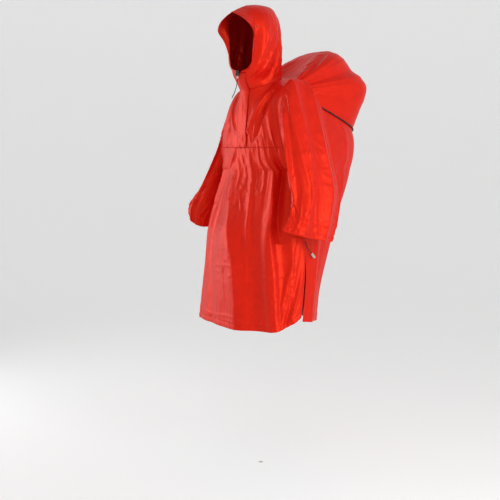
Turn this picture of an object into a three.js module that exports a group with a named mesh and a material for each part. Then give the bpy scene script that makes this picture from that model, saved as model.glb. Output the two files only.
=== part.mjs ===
import * as THREE from "three";

// Cloth and cords, in millimetres
const WALL = 1.5;
const SEAM_GAP = 0.34;
const DEG = Math.PI / 180;

// Columns and rows of the panels
const NECK_FRONT_COLUMNS = 10;
const NECK_BACK_COLUMNS = 6;
const SHOULDER_COLUMNS = 6;
const YOKE_ROWS = 9;
const CHEST_ROWS = 3;
const SIDE_ROWS = 20;
const SLIT_ROW = 11;
const PACK_ROWS = 12;
const BLADE_ROWS = 5;
const HOOD_ROWS = 14;
const SLEEVE_ROWS = 16;
const EVEN_RING = 3;

// Openings of the body
const NECK = { halfWidth: 77, halfDepth: 82, z: -32, tilt: 26 };
const ARMHOLE = { x: 187, y: 8, z: -208, lean: 43, front: 60, rear: 92, halfHeight: 158 };
const YOKE_Z = -280;
const CINCH_ANGLE = 32 * DEG;
const FRONT_HEM = { middle: -972, lift: 52, start: 0.58 };
const BACK_HEM = { edge: -936 };
const SLIT_SPREAD = 4;

// Side line of the body under the arm
const SIDE = [
  { at: -990, x: 285, y: -18 },
  { at: -942, x: 283, y: -14 },
  { at: -850, x: 276, y: 2 },
  { at: -750, x: 269, y: 14 },
  { at: -650, x: 261, y: 18 },
  { at: -550, x: 252, y: 12 },
  { at: -450, x: 242, y: 9 },
  { at: -366, x: 230, y: 8 },
];

// Middle of the front, and how far round each section turns
const FRONT = [
  { at: -1010, y: -222, turn: 90 },
  { at: -900, y: -216, turn: 90 },
  { at: -750, y: -208, turn: 90 },
  { at: -615, y: -196, turn: 90 },
  { at: -500, y: -152, turn: 89 },
  { at: -400, y: -116, turn: 87 },
  { at: -366, y: -106, turn: 84 },
  { at: -338, y: -100, turn: 68 },
  { at: -310, y: -95, turn: 58 },
  { at: -280, y: -92, turn: 53 },
  { at: -200, y: -90, turn: 50 },
  { at: -120, y: -87, turn: 53 },
  { at: -50, y: -83, turn: 58 },
];

// Middle line of the pack cover, from the nape over the pack to the cinch cord
const PACK = [
  { at: 0, y: 84, z: 6, half: 120, power: 2.4 },
  { at: 0.16, y: 132, z: 4, half: 126, power: 2.8 },
  { at: 0.28, y: 176, z: 40, half: 134, power: 2 },
  { at: 0.38, y: 228, z: 86, half: 144, power: 2.2 },
  { at: 0.48, y: 282, z: 108, half: 156, power: 2.9 },
  { at: 0.58, y: 330, z: 92, half: 164, power: 3.6 },
  { at: 0.68, y: 378, z: 49, half: 174, power: 4 },
  { at: 0.78, y: 412, z: -1, half: 182, power: 5.4 },
  { at: 0.86, y: 430, z: -54, half: 185, power: 6.4 },
  { at: 0.93, y: 418, z: -132, half: 176, power: 5 },
  { at: 1, y: 390, z: -218, half: 166, power: 4.4 },
];

// Middle line of the back skirt, from the cinch cord to the hem
const BACK = [
  { at: 0, y: 390, z: -218, half: 166, power: 4.4 },
  { at: 0.1, y: 386, z: -284, half: 174, power: 4.2 },
  { at: 0.25, y: 358, z: -400, half: 182, power: 3.8 },
  { at: 0.42, y: 304, z: -530, half: 202, power: 3 },
  { at: 0.62, y: 237, z: -690, half: 238, power: 2.4 },
  { at: 0.82, y: 180, z: -840, half: 266, power: 2.1 },
  { at: 1, y: 167, z: -962, half: 279, power: 2 },
];

// Rings of the sleeves: the point over the arm, the point under it, and the reach to front and rear
const SLEEVE_LEFT = [
  {
    at: 0, topX: 144, topY: 8, topZ: -50,
    lowX: 230, lowY: 8, lowZ: -366, front: 60, rear: 92, pitch: 0,
  },
  {
    at: 1, topX: 197, topY: 30, topZ: -20,
    lowX: 253, lowY: 8, lowZ: -374, front: 84, rear: 118, pitch: 0,
  },
  {
    at: 2, topX: 258, topY: 24, topZ: -140,
    lowX: 263, lowY: 10, lowZ: -394, front: 98, rear: 120, pitch: 0,
  },
  {
    at: 3, topX: 318, topY: 22, topZ: -296,
    lowX: 266, lowY: 14, lowZ: -436, front: 106, rear: 120, pitch: 0,
  },
  {
    at: 4, topX: 354, topY: 24, topZ: -430,
    lowX: 270, lowY: 14, lowZ: -494, front: 104, rear: 128, pitch: 0,
  },
  {
    at: 5, topX: 366, topY: 12, topZ: -536,
    lowX: 277, lowY: 4, lowZ: -556, front: 112, rear: 118, pitch: 10,
  },
  {
    at: 6, topX: 362, topY: 0, topZ: -620,
    lowX: 282, lowY: -8, lowZ: -588, front: 130, rear: 100, pitch: 24,
  },
];
const SLEEVE_RIGHT = [
  {
    at: 0, topX: 144, topY: 8, topZ: -50,
    lowX: 230, lowY: 8, lowZ: -366, front: 60, rear: 92, pitch: 0,
  },
  {
    at: 1, topX: 190, topY: 26, topZ: -80,
    lowX: 250, lowY: 16, lowZ: -374, front: 60, rear: 96, pitch: 0,
  },
  {
    at: 2, topX: 232, topY: 30, topZ: -174,
    lowX: 260, lowY: 20, lowZ: -396, front: 66, rear: 84, pitch: 0,
  },
  {
    at: 3, topX: 290, topY: 14, topZ: -302,
    lowX: 264, lowY: 4, lowZ: -440, front: 70, rear: 88, pitch: 0,
  },
  {
    at: 4, topX: 338, topY: -20, topZ: -420,
    lowX: 268, lowY: -26, lowZ: -492, front: 76, rear: 90, pitch: 0,
  },
  {
    at: 5, topX: 366, topY: -70, topZ: -502,
    lowX: 278, lowY: -60, lowZ: -556, front: 68, rear: 86, pitch: 0,
  },
  {
    at: 6, topX: 360, topY: -96, topZ: -548,
    lowX: 286, lowY: -82, lowZ: -610, front: 50, rear: 66, pitch: 0,
  },
];

// Folds: they run from top to low, past start, middle and end across the panel.
// A negative height is a trough.
const FRONT_FOLDS = [
  { top: -250, low: -1180, start: 0.68, middle: 0.57, end: 0.76, height: 13, width: 0.05 },
  { top: -230, low: -640, start: 0.86, middle: 0.7, end: 0.7, height: -15, width: 0.06 },
  { top: -300, low: -1300, start: -0.26, middle: 0.22, end: 0.34, height: 11, width: 0.11 },
  { top: -380, low: -1250, start: 0.22, middle: 0.42, end: 0.5, height: -11, width: 0.1 },
  { top: -284, low: -690, start: 0.2, middle: 0.27, end: 0.38, height: 8, width: 0.045 },
  { top: -284, low: -420, start: -0.17, middle: -0.21, end: -0.25, height: 7, width: 0.05 },
  { top: -500, low: -1200, start: -0.34, middle: -0.2, end: -0.12, height: -9, width: 0.09 },
  { top: -690, low: -1060, start: 0.87, middle: 0.79, end: 0.73, height: 10, width: 0.04 },
  { top: -660, low: -1040, start: 0.95, middle: 0.88, end: 0.8, height: -9, width: 0.04 },
  { top: -420, low: -1150, start: -0.56, middle: -0.62, end: -0.58, height: 12, width: 0.07 },
  { top: -380, low: -1100, start: -0.76, middle: -0.8, end: -0.8, height: -11, width: 0.06 },
  { top: -40, low: -232, start: 0.84, middle: 0.5, end: 0.14, height: 12, width: 0.08 },
  { top: -60, low: -262, start: 0.92, middle: 0.62, end: 0.26, height: -11, width: 0.07 },
  { top: -80, low: -330, start: 0.7, middle: 0.78, end: 0.8, height: 8, width: 0.05 },
  { top: -40, low: -230, start: -0.84, middle: -0.54, end: -0.2, height: 9, width: 0.08 },
  { top: -60, low: -270, start: -0.92, middle: -0.7, end: -0.4, height: -9, width: 0.07 },
];
const PACK_FOLDS = [
  { top: 0.2, low: 1.15, start: 0.36, middle: 0.32, end: 0.3, height: 7, width: 0.035 },
  { top: 0.2, low: 1.15, start: 0.46, middle: 0.43, end: 0.42, height: -7, width: 0.035 },
  { top: 0.3, low: 1.15, start: 0.56, middle: 0.54, end: 0.52, height: 7, width: 0.035 },
  { top: 0.2, low: 1.15, start: 0.72, middle: 0.68, end: 0.64, height: -8, width: 0.04 },
  { top: 0.1, low: 1.1, start: 0.84, middle: 0.82, end: 0.8, height: 7, width: 0.045 },
];
const BACK_FOLDS = [
  { top: 0.02, low: 1.3, start: 0.44, middle: 0.5, end: 0.4, height: 13, width: 0.07 },
  { top: 0.02, low: 1.2, start: 0.2, middle: 0.28, end: 0.2, height: -12, width: 0.08 },
  { top: 0.02, low: 1.3, start: -0.06, middle: 0.02, end: 0.04, height: 12, width: 0.07 },
  { top: 0.02, low: 1.2, start: -0.26, middle: -0.22, end: -0.28, height: -12, width: 0.08 },
  { top: 0.02, low: 1.3, start: -0.44, middle: -0.5, end: -0.44, height: 12, width: 0.07 },
  { top: 0.3, low: 1.3, start: 0.66, middle: 0.7, end: 0.66, height: -10, width: 0.06 },
  { top: 0.3, low: 1.3, start: 0.8, middle: 0.82, end: 0.84, height: 8, width: 0.05 },
  { top: 0.3, low: 1.3, start: -0.7, middle: -0.72, end: -0.64, height: -10, width: 0.06 },
];
const SLEEVE_FOLDS = [
  { top: 0.4, low: 5, start: 100, middle: 90, end: 80, height: 10, width: 12 },
  { top: 0.5, low: 5, start: 124, middle: 116, end: 104, height: -13, width: 13 },
  { top: 0.6, low: 7, start: 150, middle: 142, end: 132, height: 10, width: 14 },
  { top: 3.4, low: 5.4, start: 60, middle: 92, end: 130, height: -9, width: 12 },
  { top: 1.2, low: 6.6, start: 176, middle: 172, end: 166, height: -7, width: 12 },
  { top: 0.8, low: 6.8, start: 206, middle: 204, end: 200, height: 8, width: 14 },
  { top: 1.5, low: 6, start: 240, middle: 246, end: 236, height: -8, width: 14 },
  { top: 1, low: 6.8, start: 276, middle: 284, end: 270, height: 9, width: 16 },
];
const HOOD_FOLDS = [
  { top: 0.02, low: 0.62, start: 0.3, middle: 0.36, end: 0.5, height: 5, width: 0.06 },
  { top: 0.05, low: 0.7, start: 0.44, middle: 0.5, end: 0.62, height: -5, width: 0.06 },
  { top: 0.1, low: 0.8, start: 0.62, middle: 0.66, end: 0.72, height: 5, width: 0.07 },
];

// Arches of the hood, each from the neck seam (or the chin) up to the middle seam
const HOOD_TURN = 15 * DEG;
const HOOD_TURN_RISE = { start: 0.08, end: 0.27 };
const HOOD = [
  {
    at: 0,
    points: [
      [0, -82, -58], [2, -106, -26], [5, -126, 6], [40, -128, 20], [56, -122, 48],
      [62, -116, 92], [64, -116, 138], [66, -120, 182], [46, -122, 225], [0, -122, 249],
    ],
  },
  {
    at: 0.2,
    points: [
      [45, -66, -53], [50, -84, -24], [63, -96, 8], [77, -98, 40], [86, -92, 76],
      [90, -86, 114], [90, -84, 160], [80, -84, 208], [46, -84, 248], [0, -84, 261],
    ],
  },
  {
    at: 0.5,
    points: [
      [77, 0, -32], [77, -4, -4], [81, -11, 28], [86, -16, 62], [89, -18, 96],
      [90, -18, 132], [88, -18, 172], [76, -18, 222], [42, -18, 257], [0, -18, 268],
    ],
  },
  {
    at: 0.8,
    points: [
      [45, 66, -11], [46, 65, 14], [52, 61, 44], [58, 55, 74], [61, 50, 104],
      [61, 47, 134], [59, 44, 168], [50, 41, 212], [29, 38, 250], [0, 36, 262],
    ],
  },
  {
    at: 1,
    points: [
      [0, 82, -6], [0, 82, 20], [0, 84, 48], [0, 85, 76], [0, 85, 104],
      [0, 83, 134], [0, 80, 166], [0, 76, 202], [0, 67, 232], [0, 54, 251],
    ],
  },
];
const BRIM_START = 6;
const BRIM_COLUMNS = 4;
const BRIM = [
  { at: 0, x: 65, y: -126, z: 116 },
  { at: 0.3, x: 89, y: -152, z: 158 },
  { at: 0.55, x: 70, y: -168, z: 186 },
  { at: 0.8, x: 38, y: -173, z: 209 },
  { at: 1, x: 0, y: -176, z: 226 },
];

// Placket, cords, locks and pulls
const PLACKET = { width: 60, columns: 8, clear: 1.2, throatRow: 3 };
const CORD_SIDES = 8;
const PACK_CORD = { diameter: 5, clear: 0.8, steps: 60 };
const CHIN_LOCK = { forward: -135.4, z: 2, radius: 8, height: 20, waist: 6.5, step: 1.2 };
const CHIN_CLIP = { radius: 3.6, height: 11, round: 1 };
const CHIN_CORD = { diameter: 3, length: 72, drift: -20, forward: -12, steps: 20 };
const SIDE_CORD = { diameter: 3, z: -634, stand: 2.2, drop: 46, back: 22, out: 12, steps: 16 };
const SIDE_PULL = { length: 22, radius: 4.6, flat: 0.5, round: 1.2 };
const JOINT_GAP = 0.3;
const ROUND_SIDES = 12;
const AXIS = 0.01;

const vec = (x, y, z) => new THREE.Vector3(x, y, z);
const mix = (a, b, t) => a.clone().lerp(b, t);
const clamp = (x) => Math.min(1, Math.max(0, x));
const ease = (x) => clamp(x) ** 2 * (3 - 2 * clamp(x));

// The height of a table of folds at a place
function foldHeight(table, across, along) {
  let height = 0;
  for (const fold of table) {
    const t = clamp((along - fold.top) / (fold.low - fold.top));
    const first = fold.start * (1 - t) * (1 - 2 * t) + fold.end * t * (2 * t - 1);
    const offset = (across - first - fold.middle * 4 * t * (1 - t)) / fold.width;
    height += fold.height * Math.sqrt(Math.sin(Math.PI * t)) * Math.exp(-offset * offset);
  }
  return height;
}

// A smooth curve through four numbers, between the middle two
function through(a, b, c, d, slopeB, slopeC, t) {
  const rise = (c - b) * (3 * t * t - 2 * t * t * t);
  return b + rise + slopeB * (t * t * t - 2 * t * t + t) + slopeC * (t * t * t - t * t);
}

// The value of one column of a table at a place between its rows
function value(table, key, at) {
  const last = table.length - 1;
  let i = 0;
  while (i < last - 1 && at > table[i + 1].at) i += 1;
  const row = [table[Math.max(0, i - 1)], table[i], table[i + 1], table[Math.min(last, i + 2)]];
  const span = row[2].at - row[1].at;
  const [a, b, c, d] = row.map((r) => r[key]);
  const slopeB = ((c - a) / (row[2].at - row[0].at)) * span;
  const slopeC = ((d - b) / (row[3].at - row[1].at)) * span;
  return through(a, b, c, d, slopeB, slopeC, clamp((at - row[1].at) / span));
}

function neck(angle) {
  return vec(
    NECK.halfWidth * Math.sin(angle),
    -NECK.halfDepth * Math.cos(angle),
    NECK.z - NECK.tilt * Math.cos(angle),
  );
}

// The armhole, from the shoulder (0) down to the underarm (pi); side is -1 in front and 1 behind
function armhole(angle, side) {
  return vec(
    ARMHOLE.x - ARMHOLE.lean * Math.cos(angle),
    ARMHOLE.y + side * (side < 0 ? ARMHOLE.front : ARMHOLE.rear) * Math.sin(angle),
    ARMHOLE.z + ARMHOLE.halfHeight * Math.cos(angle),
  );
}
const UNDERARM_Z = armhole(Math.PI, 1).z;
const armAngle = (z) => Math.acos(clamp((z - UNDERARM_Z) / (2 * ARMHOLE.halfHeight)) * 2 - 1);
const sidePoint = (z) => vec(value(SIDE, "x", z), value(SIDE, "y", z), z);

// The neck seam and the shoulder seam as one line, from the middle (0) to the shoulder (1)
function collar(across, columns, rear) {
  const share = columns / (columns + SHOULDER_COLUMNS);
  if (across <= share) {
    const turn = ((across / share) * Math.PI) / 2;
    return neck(rear ? Math.PI - turn : turn);
  }
  return mix(neck(Math.PI / 2), armhole(0, 1), (across - share) / (1 - share));
}

// An elliptic arc between an edge, its mirror image and the middle
function arc(edge, y, z, turn, across) {
  const share = (Math.cos(across * turn) - Math.cos(turn)) / (1 - Math.cos(turn));
  return vec(
    (edge.x * Math.sin(across * turn)) / Math.sin(turn),
    edge.y + (y - edge.y) * share,
    edge.z + (z - edge.z) * share,
  );
}

function frontSection(edge, z, across) {
  return arc(edge, value(FRONT, "y", z), z, value(FRONT, "turn", z) * DEG, across);
}

function frontFold(across, z) {
  const angle = across * value(FRONT, "turn", z) * DEG;
  const height = foldHeight(FRONT_FOLDS, across, z) * (1 - across ** 12);
  return vec(Math.sin(angle), -Math.cos(angle), 0).multiplyScalar(height);
}

function yokePoint(across, down) {
  const edge = armhole(armAngle(YOKE_Z) * down, -1);
  const z = neck(0).z + (YOKE_Z - neck(0).z) * down;
  const point = frontSection(edge, z, across);
  const keep = clamp(1 - down / 0.7) ** 2;
  const top = collar(Math.abs(across), NECK_FRONT_COLUMNS, false);
  top.x *= Math.sign(across);
  const flat = frontSection(armhole(0, -1), neck(0).z, across);
  point.add(top.sub(flat).multiplyScalar(keep));
  return point.addScaledVector(frontFold(across, z), ease(down * 4));
}

function frontPoint(across, down) {
  const size = Math.abs(across);
  const lift = FRONT_HEM.lift * clamp((size - FRONT_HEM.start) / (1 - FRONT_HEM.start)) ** 2;
  const z = YOKE_Z + (FRONT_HEM.middle + lift - YOKE_Z) * down;
  const edge = z > UNDERARM_Z ? armhole(armAngle(z), -1) : sidePoint(z);
  const point = frontSection(edge, z, across);
  point.z = z;
  return point.add(frontFold(across, z));
}

// A rounded box section from the middle (0) to the edge (1)
function box(edge, y, z, half, power, across) {
  const angle = ((1 - across) * Math.PI) / 2;
  const reach = (Math.cos(angle) ** power + Math.sin(angle) ** power) ** (-1 / power);
  const wide = reach * Math.cos(angle);
  const deep = reach * Math.sin(angle);
  return vec(
    wide * (edge.x + (half - edge.x) * deep),
    edge.y + (y - edge.y) * deep,
    edge.z + (z - edge.z) * deep,
  );
}

function boxSection(table, edge, across, down) {
  const [y, z, half, power] = ["y", "z", "half", "power"].map((key) => value(table, key, down));
  const point = box(edge, y, z, half, power, Math.abs(across));
  point.x *= Math.sign(across);
  return point;
}

function packPoint(across, down) {
  const point = boxSection(PACK, armhole(CINCH_ANGLE * down, 1), across, down);
  const keep = clamp(1 - down / 0.4) ** 2;
  const top = collar(Math.abs(across), NECK_BACK_COLUMNS, true);
  top.x *= Math.sign(across);
  const flat = boxSection(PACK, armhole(0, 1), across, 0);
  return point.add(top.sub(flat).multiplyScalar(keep));
}

// Columns from one edge to the other, rows by a list
const columnsOf = (half) => Array.from({ length: 2 * half + 1 }, (_, i) => i / half - 1);
const rowsOf = (count) => Array.from({ length: count + 1 }, (_, i) => i / count);

function edgeRows() {
  const rows = [];
  const underarm = (UNDERARM_Z - YOKE_Z) / (FRONT_HEM.middle + FRONT_HEM.lift - YOKE_Z);
  for (let i = 0; i <= CHEST_ROWS; i += 1) rows.push((underarm * i) / CHEST_ROWS);
  for (let i = 1; i <= SIDE_ROWS; i += 1) rows.push(underarm + ((1 - underarm) * i) / SIDE_ROWS);
  return rows;
}

// The rear edge of the body, row by row: armhole, side seam, slit
function backEdges() {
  const front = edgeRows().slice(CHEST_ROWS).map((down) => frontPoint(1, down));
  const edges = [];
  for (let i = 0; i < BLADE_ROWS; i += 1) {
    edges.push(armhole(CINCH_ANGLE + ((Math.PI - CINCH_ANGLE) * i) / BLADE_ROWS, 1));
  }
  const slitZ = front[SLIT_ROW].z;
  front.forEach((point, i) => {
    const share = (i - SLIT_ROW) / (SIDE_ROWS - SLIT_ROW);
    edges.push(i <= SLIT_ROW ? point : sidePoint(slitZ + (BACK_HEM.edge - slitZ) * share));
  });
  return edges;
}

// A cloth panel: its points, the outward direction at each, and the seams along its sides
function panel(points, hand, wrap = false) {
  const rows = points.length;
  const columns = points[0].length;
  const at = (r, c) => {
    const column = wrap ? (c + columns) % columns : Math.min(columns - 1, Math.max(0, c));
    return points[Math.min(rows - 1, Math.max(0, r))][column];
  };
  const normals = points.map((row, r) =>
    row.map((_, c) => {
      const along = at(r + 1, c).clone().sub(at(r - 1, c));
      const across = at(r, c + 1).clone().sub(at(r, c - 1));
      return along.cross(across).normalize().multiplyScalar(hand);
    }),
  );
  return { points, normals, hand, wrap, rows, columns, at };
}

// A panel moved out and in by the height given for each row and column
function folded(piece, heightAt) {
  const points = piece.points.map((row, r) =>
    row.map((point, c) => point.clone().addScaledVector(piece.normals[r][c], heightAt(r, c))),
  );
  return panel(points, piece.hand, piece.wrap);
}

function rim(piece) {
  const places = [];
  for (let r = 0; r < piece.rows; r += 1) {
    for (let c = 0; c < piece.columns; c += 1) {
      const end = r === 0 || r === piece.rows - 1;
      const side = !piece.wrap && (c === 0 || c === piece.columns - 1);
      if (end || side) places.push([r, c]);
    }
  }
  return places;
}

// Neighbours share one outward direction wherever their edges meet
function shareNormals(pieces) {
  const sums = new Map();
  const keyOf = (point) => point.toArray().map((x) => Math.round(x * 20)).join();
  for (const piece of pieces) {
    for (const [r, c] of rim(piece)) {
      const key = keyOf(piece.points[r][c]);
      if (!sums.has(key)) sums.set(key, vec(0, 0, 0));
      sums.get(key).add(piece.normals[r][c]);
    }
  }
  for (const piece of pieces) {
    for (const [r, c] of rim(piece)) {
      piece.normals[r][c] = sums.get(keyOf(piece.points[r][c])).clone().normalize();
    }
  }
}

// How far each point of a seam moves back to leave the gap
function pullBack(piece, seams) {
  const shifts = piece.points.map((row) => row.map(() => vec(0, 0, 0)));
  const lastRow = piece.rows - 1;
  const lastColumn = piece.columns - 1;
  for (let r = 0; r <= lastRow; r += 1) {
    for (let c = 0; c <= lastColumn; c += 1) {
      const sides = [
        ["top", r === 0, [0, 1], [1, 0]],
        ["bottom", r === lastRow, [0, 1], [-1, 0]],
        ["first", c === 0, [1, 0], [0, 1]],
        ["last", c === lastColumn, [1, 0], [0, -1]],
      ];
      for (const [name, here, [dr, dc], [ir, ic]] of sides) {
        if (!here || !seams.includes(name)) continue;
        const tangent = piece.at(r + dr, c + dc).clone().sub(piece.at(r - dr, c - dc));
        const inside = piece.at(r + ir, c + ic).clone().sub(piece.at(r, c));
        const back = tangent.cross(piece.normals[r][c]).normalize();
        back.multiplyScalar((Math.sign(back.dot(inside)) * SEAM_GAP) / 2);
        shifts[r][c].add(back);
      }
    }
  }
  return shifts;
}

// The closed wall of a panel: its outer face, its inner face and the edges between
function wall(piece, seams) {
  const { rows, columns, wrap } = piece;
  const shifts = pullBack(piece, seams);
  const positions = [];
  for (const inset of [0, WALL]) {
    for (let r = 0; r < rows; r += 1) {
      for (let c = 0; c < columns; c += 1) {
        const point = piece.points[r][c].clone().add(shifts[r][c]);
        positions.push(...point.addScaledVector(piece.normals[r][c], -inset).toArray());
      }
    }
  }
  const index = [];
  const outer = (r, c) => r * columns + (c % columns);
  const inner = (r, c) => rows * columns + outer(r, c);
  const face = (a, b, c) => index.push(...(piece.hand > 0 ? [a, b, c] : [a, c, b]));
  const quad = (a, b, c, d) => {
    face(a, b, c);
    face(a, c, d);
  };
  const spans = wrap ? columns : columns - 1;
  const turnedCell = piece.hand < 0;
  const cell = (corners) => quad(...(turnedCell ? [...corners.slice(1), corners[0]] : corners));
  for (let r = 0; r < rows - 1; r += 1) {
    for (let c = 0; c < spans; c += 1) {
      cell([outer(r, c), outer(r + 1, c), outer(r + 1, c + 1), outer(r, c + 1)]);
      cell([inner(r, c), inner(r, c + 1), inner(r + 1, c + 1), inner(r + 1, c)]);
    }
    if (!wrap) {
      quad(outer(r, 0), inner(r, 0), inner(r + 1, 0), outer(r + 1, 0));
      quad(outer(r, spans), outer(r + 1, spans), inner(r + 1, spans), inner(r, spans));
    }
  }
  for (let c = 0; c < spans; c += 1) {
    quad(outer(0, c), outer(0, c + 1), inner(0, c + 1), inner(0, c));
    const end = rows - 1;
    quad(outer(end, c), inner(end, c), inner(end, c + 1), outer(end, c + 1));
  }
  return new THREE.BufferGeometry()
    .setAttribute("position", new THREE.Float32BufferAttribute(positions, 3))
    .setIndex(index);
}

// Body panels
const frontColumns = columnsOf(NECK_FRONT_COLUMNS + SHOULDER_COLUMNS);
const backColumns = columnsOf(NECK_BACK_COLUMNS + SHOULDER_COLUMNS).reverse();
const yoke = panel(
  rowsOf(YOKE_ROWS).map((down) => frontColumns.map((across) => yokePoint(across, down))),
  1,
);
const frontSkirt = panel(
  edgeRows().map((down) => {
    const slit = clamp((down - edgeRows()[CHEST_ROWS + SLIT_ROW]) * 3);
    return frontColumns.map((across) => {
      const point = frontPoint(across, down);
      point.y -= SLIT_SPREAD * slit * Math.abs(across) ** 6;
      return point;
    });
  }),
  1,
);
const packCover = folded(
  panel(rowsOf(PACK_ROWS).map((down) => backColumns.map((across) => packPoint(across, down))), 1),
  (r, c) => {
    const across = Math.abs(backColumns[c]);
    const down = r / PACK_ROWS;
    return foldHeight(PACK_FOLDS, down, across) * (1 - across ** 12) * ease((1 - down) * 6);
  },
);
const flatBack = panel(
  backEdges().map((edge, row, all) => {
    const slit = clamp((row - BLADE_ROWS - SLIT_ROW) / 4);
    return backColumns.map((across) => {
      const point = boxSection(BACK, edge, across, row / (all.length - 1));
      point.y += SLIT_SPREAD * slit * Math.abs(across) ** 6;
      return point;
    });
  }),
  1,
);

const backSkirt = folded(flatBack, (r, c) => {
  const fade = 1 - backColumns[c] ** 12;
  return r > 0 ? foldHeight(BACK_FOLDS, backColumns[c], r / (flatBack.rows - 1)) * fade : 0;
});

// Sleeves, from the armhole to the cuff
function armholeLoop() {
  const loop = [];
  const front = edgeRows().slice(0, CHEST_ROWS + 1).map((down) => armAngle(frontPoint(1, down).z));
  front.reverse().forEach((angle) => loop.push(Math.PI - angle));
  const top = armAngle(YOKE_Z);
  for (let i = YOKE_ROWS - 1; i >= 0; i -= 1) loop.push(Math.PI - (top * i) / YOKE_ROWS);
  for (let i = 1; i <= PACK_ROWS; i += 1) loop.push(Math.PI + (CINCH_ANGLE * i) / PACK_ROWS);
  for (let i = 1; i < BLADE_ROWS; i += 1) {
    loop.push(Math.PI + CINCH_ANGLE + ((Math.PI - CINCH_ANGLE) * i) / BLADE_ROWS);
  }
  return loop;
}

// The armhole's angles grow even on the way to the ring at EVEN_RING
const evenAngle = (angle, share, at) => angle + (share * 2 * Math.PI - angle) * ease(at / EVEN_RING);

function sleevePoint(table, at, angle, share) {
  const even = evenAngle(angle, share, at);
  const get = (key) => value(table, key, at);
  const top = vec(get("topX"), get("topY"), get("topZ"));
  const low = vec(get("lowX"), get("lowY"), get("lowZ"));
  const point = mix(low, top, (1 - Math.cos(even)) / 2);
  const reach = Math.sin(even);
  point.y -= reach * (reach > 0 ? get("front") : get("rear"));
  point.z += reach * get("pitch");
  return point;
}
function sleeve(table, side) {
  const loop = armholeLoop();
  const points = rowsOf(SLEEVE_ROWS).map((down) =>
    loop.map((angle, i) => {
      const point = sleevePoint(table, down * (table.length - 1), angle, i / loop.length);
      point.x *= side;
      return point;
    }),
  );
  return folded(panel(points, side, true), (r, c) => {
    const at = (r / SLEEVE_ROWS) * (table.length - 1);
    return foldHeight(SLEEVE_FOLDS, evenAngle(loop[c], c / loop.length, at) / DEG, at);
  });
}
const sleeveLeft = sleeve(SLEEVE_LEFT, 1);
const sleeveRight = sleeve(SLEEVE_RIGHT, -1);

// Hood halves
function archPoint(arch, up) {
  const place = up * (arch.points.length - 1);
  const table = arch.points.map(([x, y, z], i) => ({ at: i, x, y, z }));
  return vec(value(table, "x", place), value(table, "y", place), value(table, "z", place));
}

function turned(point, up) {
  const share = (up - HOOD_TURN_RISE.start) / (HOOD_TURN_RISE.end - HOOD_TURN_RISE.start);
  return point.applyAxisAngle(vec(0, 0, 1), HOOD_TURN * ease(share));
}

function hoodPoint(angle, up) {
  const arches = HOOD.map((arch) => ({ at: arch.at, ...archPoint(arch, up) }));
  const at = angle / Math.PI;
  return up === 0
    ? neck(angle)
    : vec(value(arches, "x", at), value(arches, "y", at), value(arches, "z", at));
}

const hoodAngles = [
  ...rowsOf(NECK_FRONT_COLUMNS).map((t) => (t * Math.PI) / 2),
  ...rowsOf(NECK_BACK_COLUMNS).slice(1).map((t) => (1 + t) * (Math.PI / 2)),
];

function hoodHalf(side) {
  const points = rowsOf(HOOD_ROWS).map((up) =>
    hoodAngles.map((angle) => {
      const point = hoodPoint(angle, up);
      point.x *= side;
      return turned(point, up);
    }),
  );
  return folded(panel(points, -side), (r, c) => {
    const share = hoodAngles[c] / Math.PI;
    return foldHeight(HOOD_FOLDS, share, r / HOOD_ROWS) * Math.sin(Math.PI * share);
  });
}
const hoodLeft = hoodHalf(1);
const hoodRight = hoodHalf(-1);

// Brim, from the edge of the hood to its own front edge
function brimRow(share, side) {
  const edge = hoodPoint(0, (BRIM_START + share * (HOOD_ROWS - BRIM_START)) / HOOD_ROWS);
  const tip = vec(value(BRIM, "x", share), value(BRIM, "y", share), value(BRIM, "z", share));
  return rowsOf(BRIM_COLUMNS).map((out) => {
    const point = mix(edge, tip, out);
    point.x *= side;
    return turned(point, 1);
  });
}

function brimPoints() {
  const shares = rowsOf(HOOD_ROWS - BRIM_START);
  const left = shares.map((share) => brimRow(share, 1));
  const right = shares.slice(0, -1).reverse().map((share) => brimRow(share, -1));
  return [...left, ...right];
}
const brim = panel(brimPoints(), 1);

// Placket over the short zip, laid on the yoke and the throat of the hood
function alongRow(points, normals, distance) {
  const middle = (points.length - 1) / 2;
  const step = Math.sign(distance) || 1;
  const gap = (i) => points[i].distanceTo(points[i + step]);
  let i = step > 0 ? Math.floor(middle) : Math.ceil(middle);
  let left = Math.abs(distance);
  if (!Number.isInteger(middle)) left += gap(i) / 2;
  while (left > gap(i)) {
    left -= gap(i);
    i += step;
  }
  const share = left / gap(i);
  const normal = mix(normals[i], normals[i + step], share).normalize();
  return mix(points[i], points[i + step], share).addScaledVector(normal, PLACKET.clear + WALL);
}

function placketPoints() {
  const lines = [];
  for (let r = PLACKET.throatRow; r > 0; r -= 1) {
    lines.push([
      [...hoodRight.points[r]].reverse().concat(hoodLeft.points[r]),
      [...hoodRight.normals[r]].reverse().concat(hoodLeft.normals[r]),
    ]);
  }
  yoke.points.forEach((row, r) => lines.push([row, yoke.normals[r]]));
  return lines.map(([points, normals]) =>
    columnsOf(PLACKET.columns / 2).map((across) =>
      alongRow(points, normals, (across * PLACKET.width) / 2),
    ),
  );
}

shareNormals([yoke, frontSkirt, packCover, backSkirt, sleeveLeft, sleeveRight, hoodLeft, hoodRight, brim]);

const placket = panel(placketPoints(), 1);

// Round cords, locks and pulls
function cord(points, diameter, steps) {
  const section = new THREE.Shape();
  for (let i = 0; i < CORD_SIDES; i += 1) {
    const angle = (2 * Math.PI * i) / CORD_SIDES;
    const place = [Math.cos(angle), Math.sin(angle)].map((x) => (x * diameter) / 2);
    section[i ? "lineTo" : "moveTo"](...place);
  }
  section.closePath();
  const extrudePath = new THREE.CatmullRomCurve3(points, false, "centripetal");
  return new THREE.ExtrudeGeometry(section, { steps, extrudePath, curveSegments: 1 });
}

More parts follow.
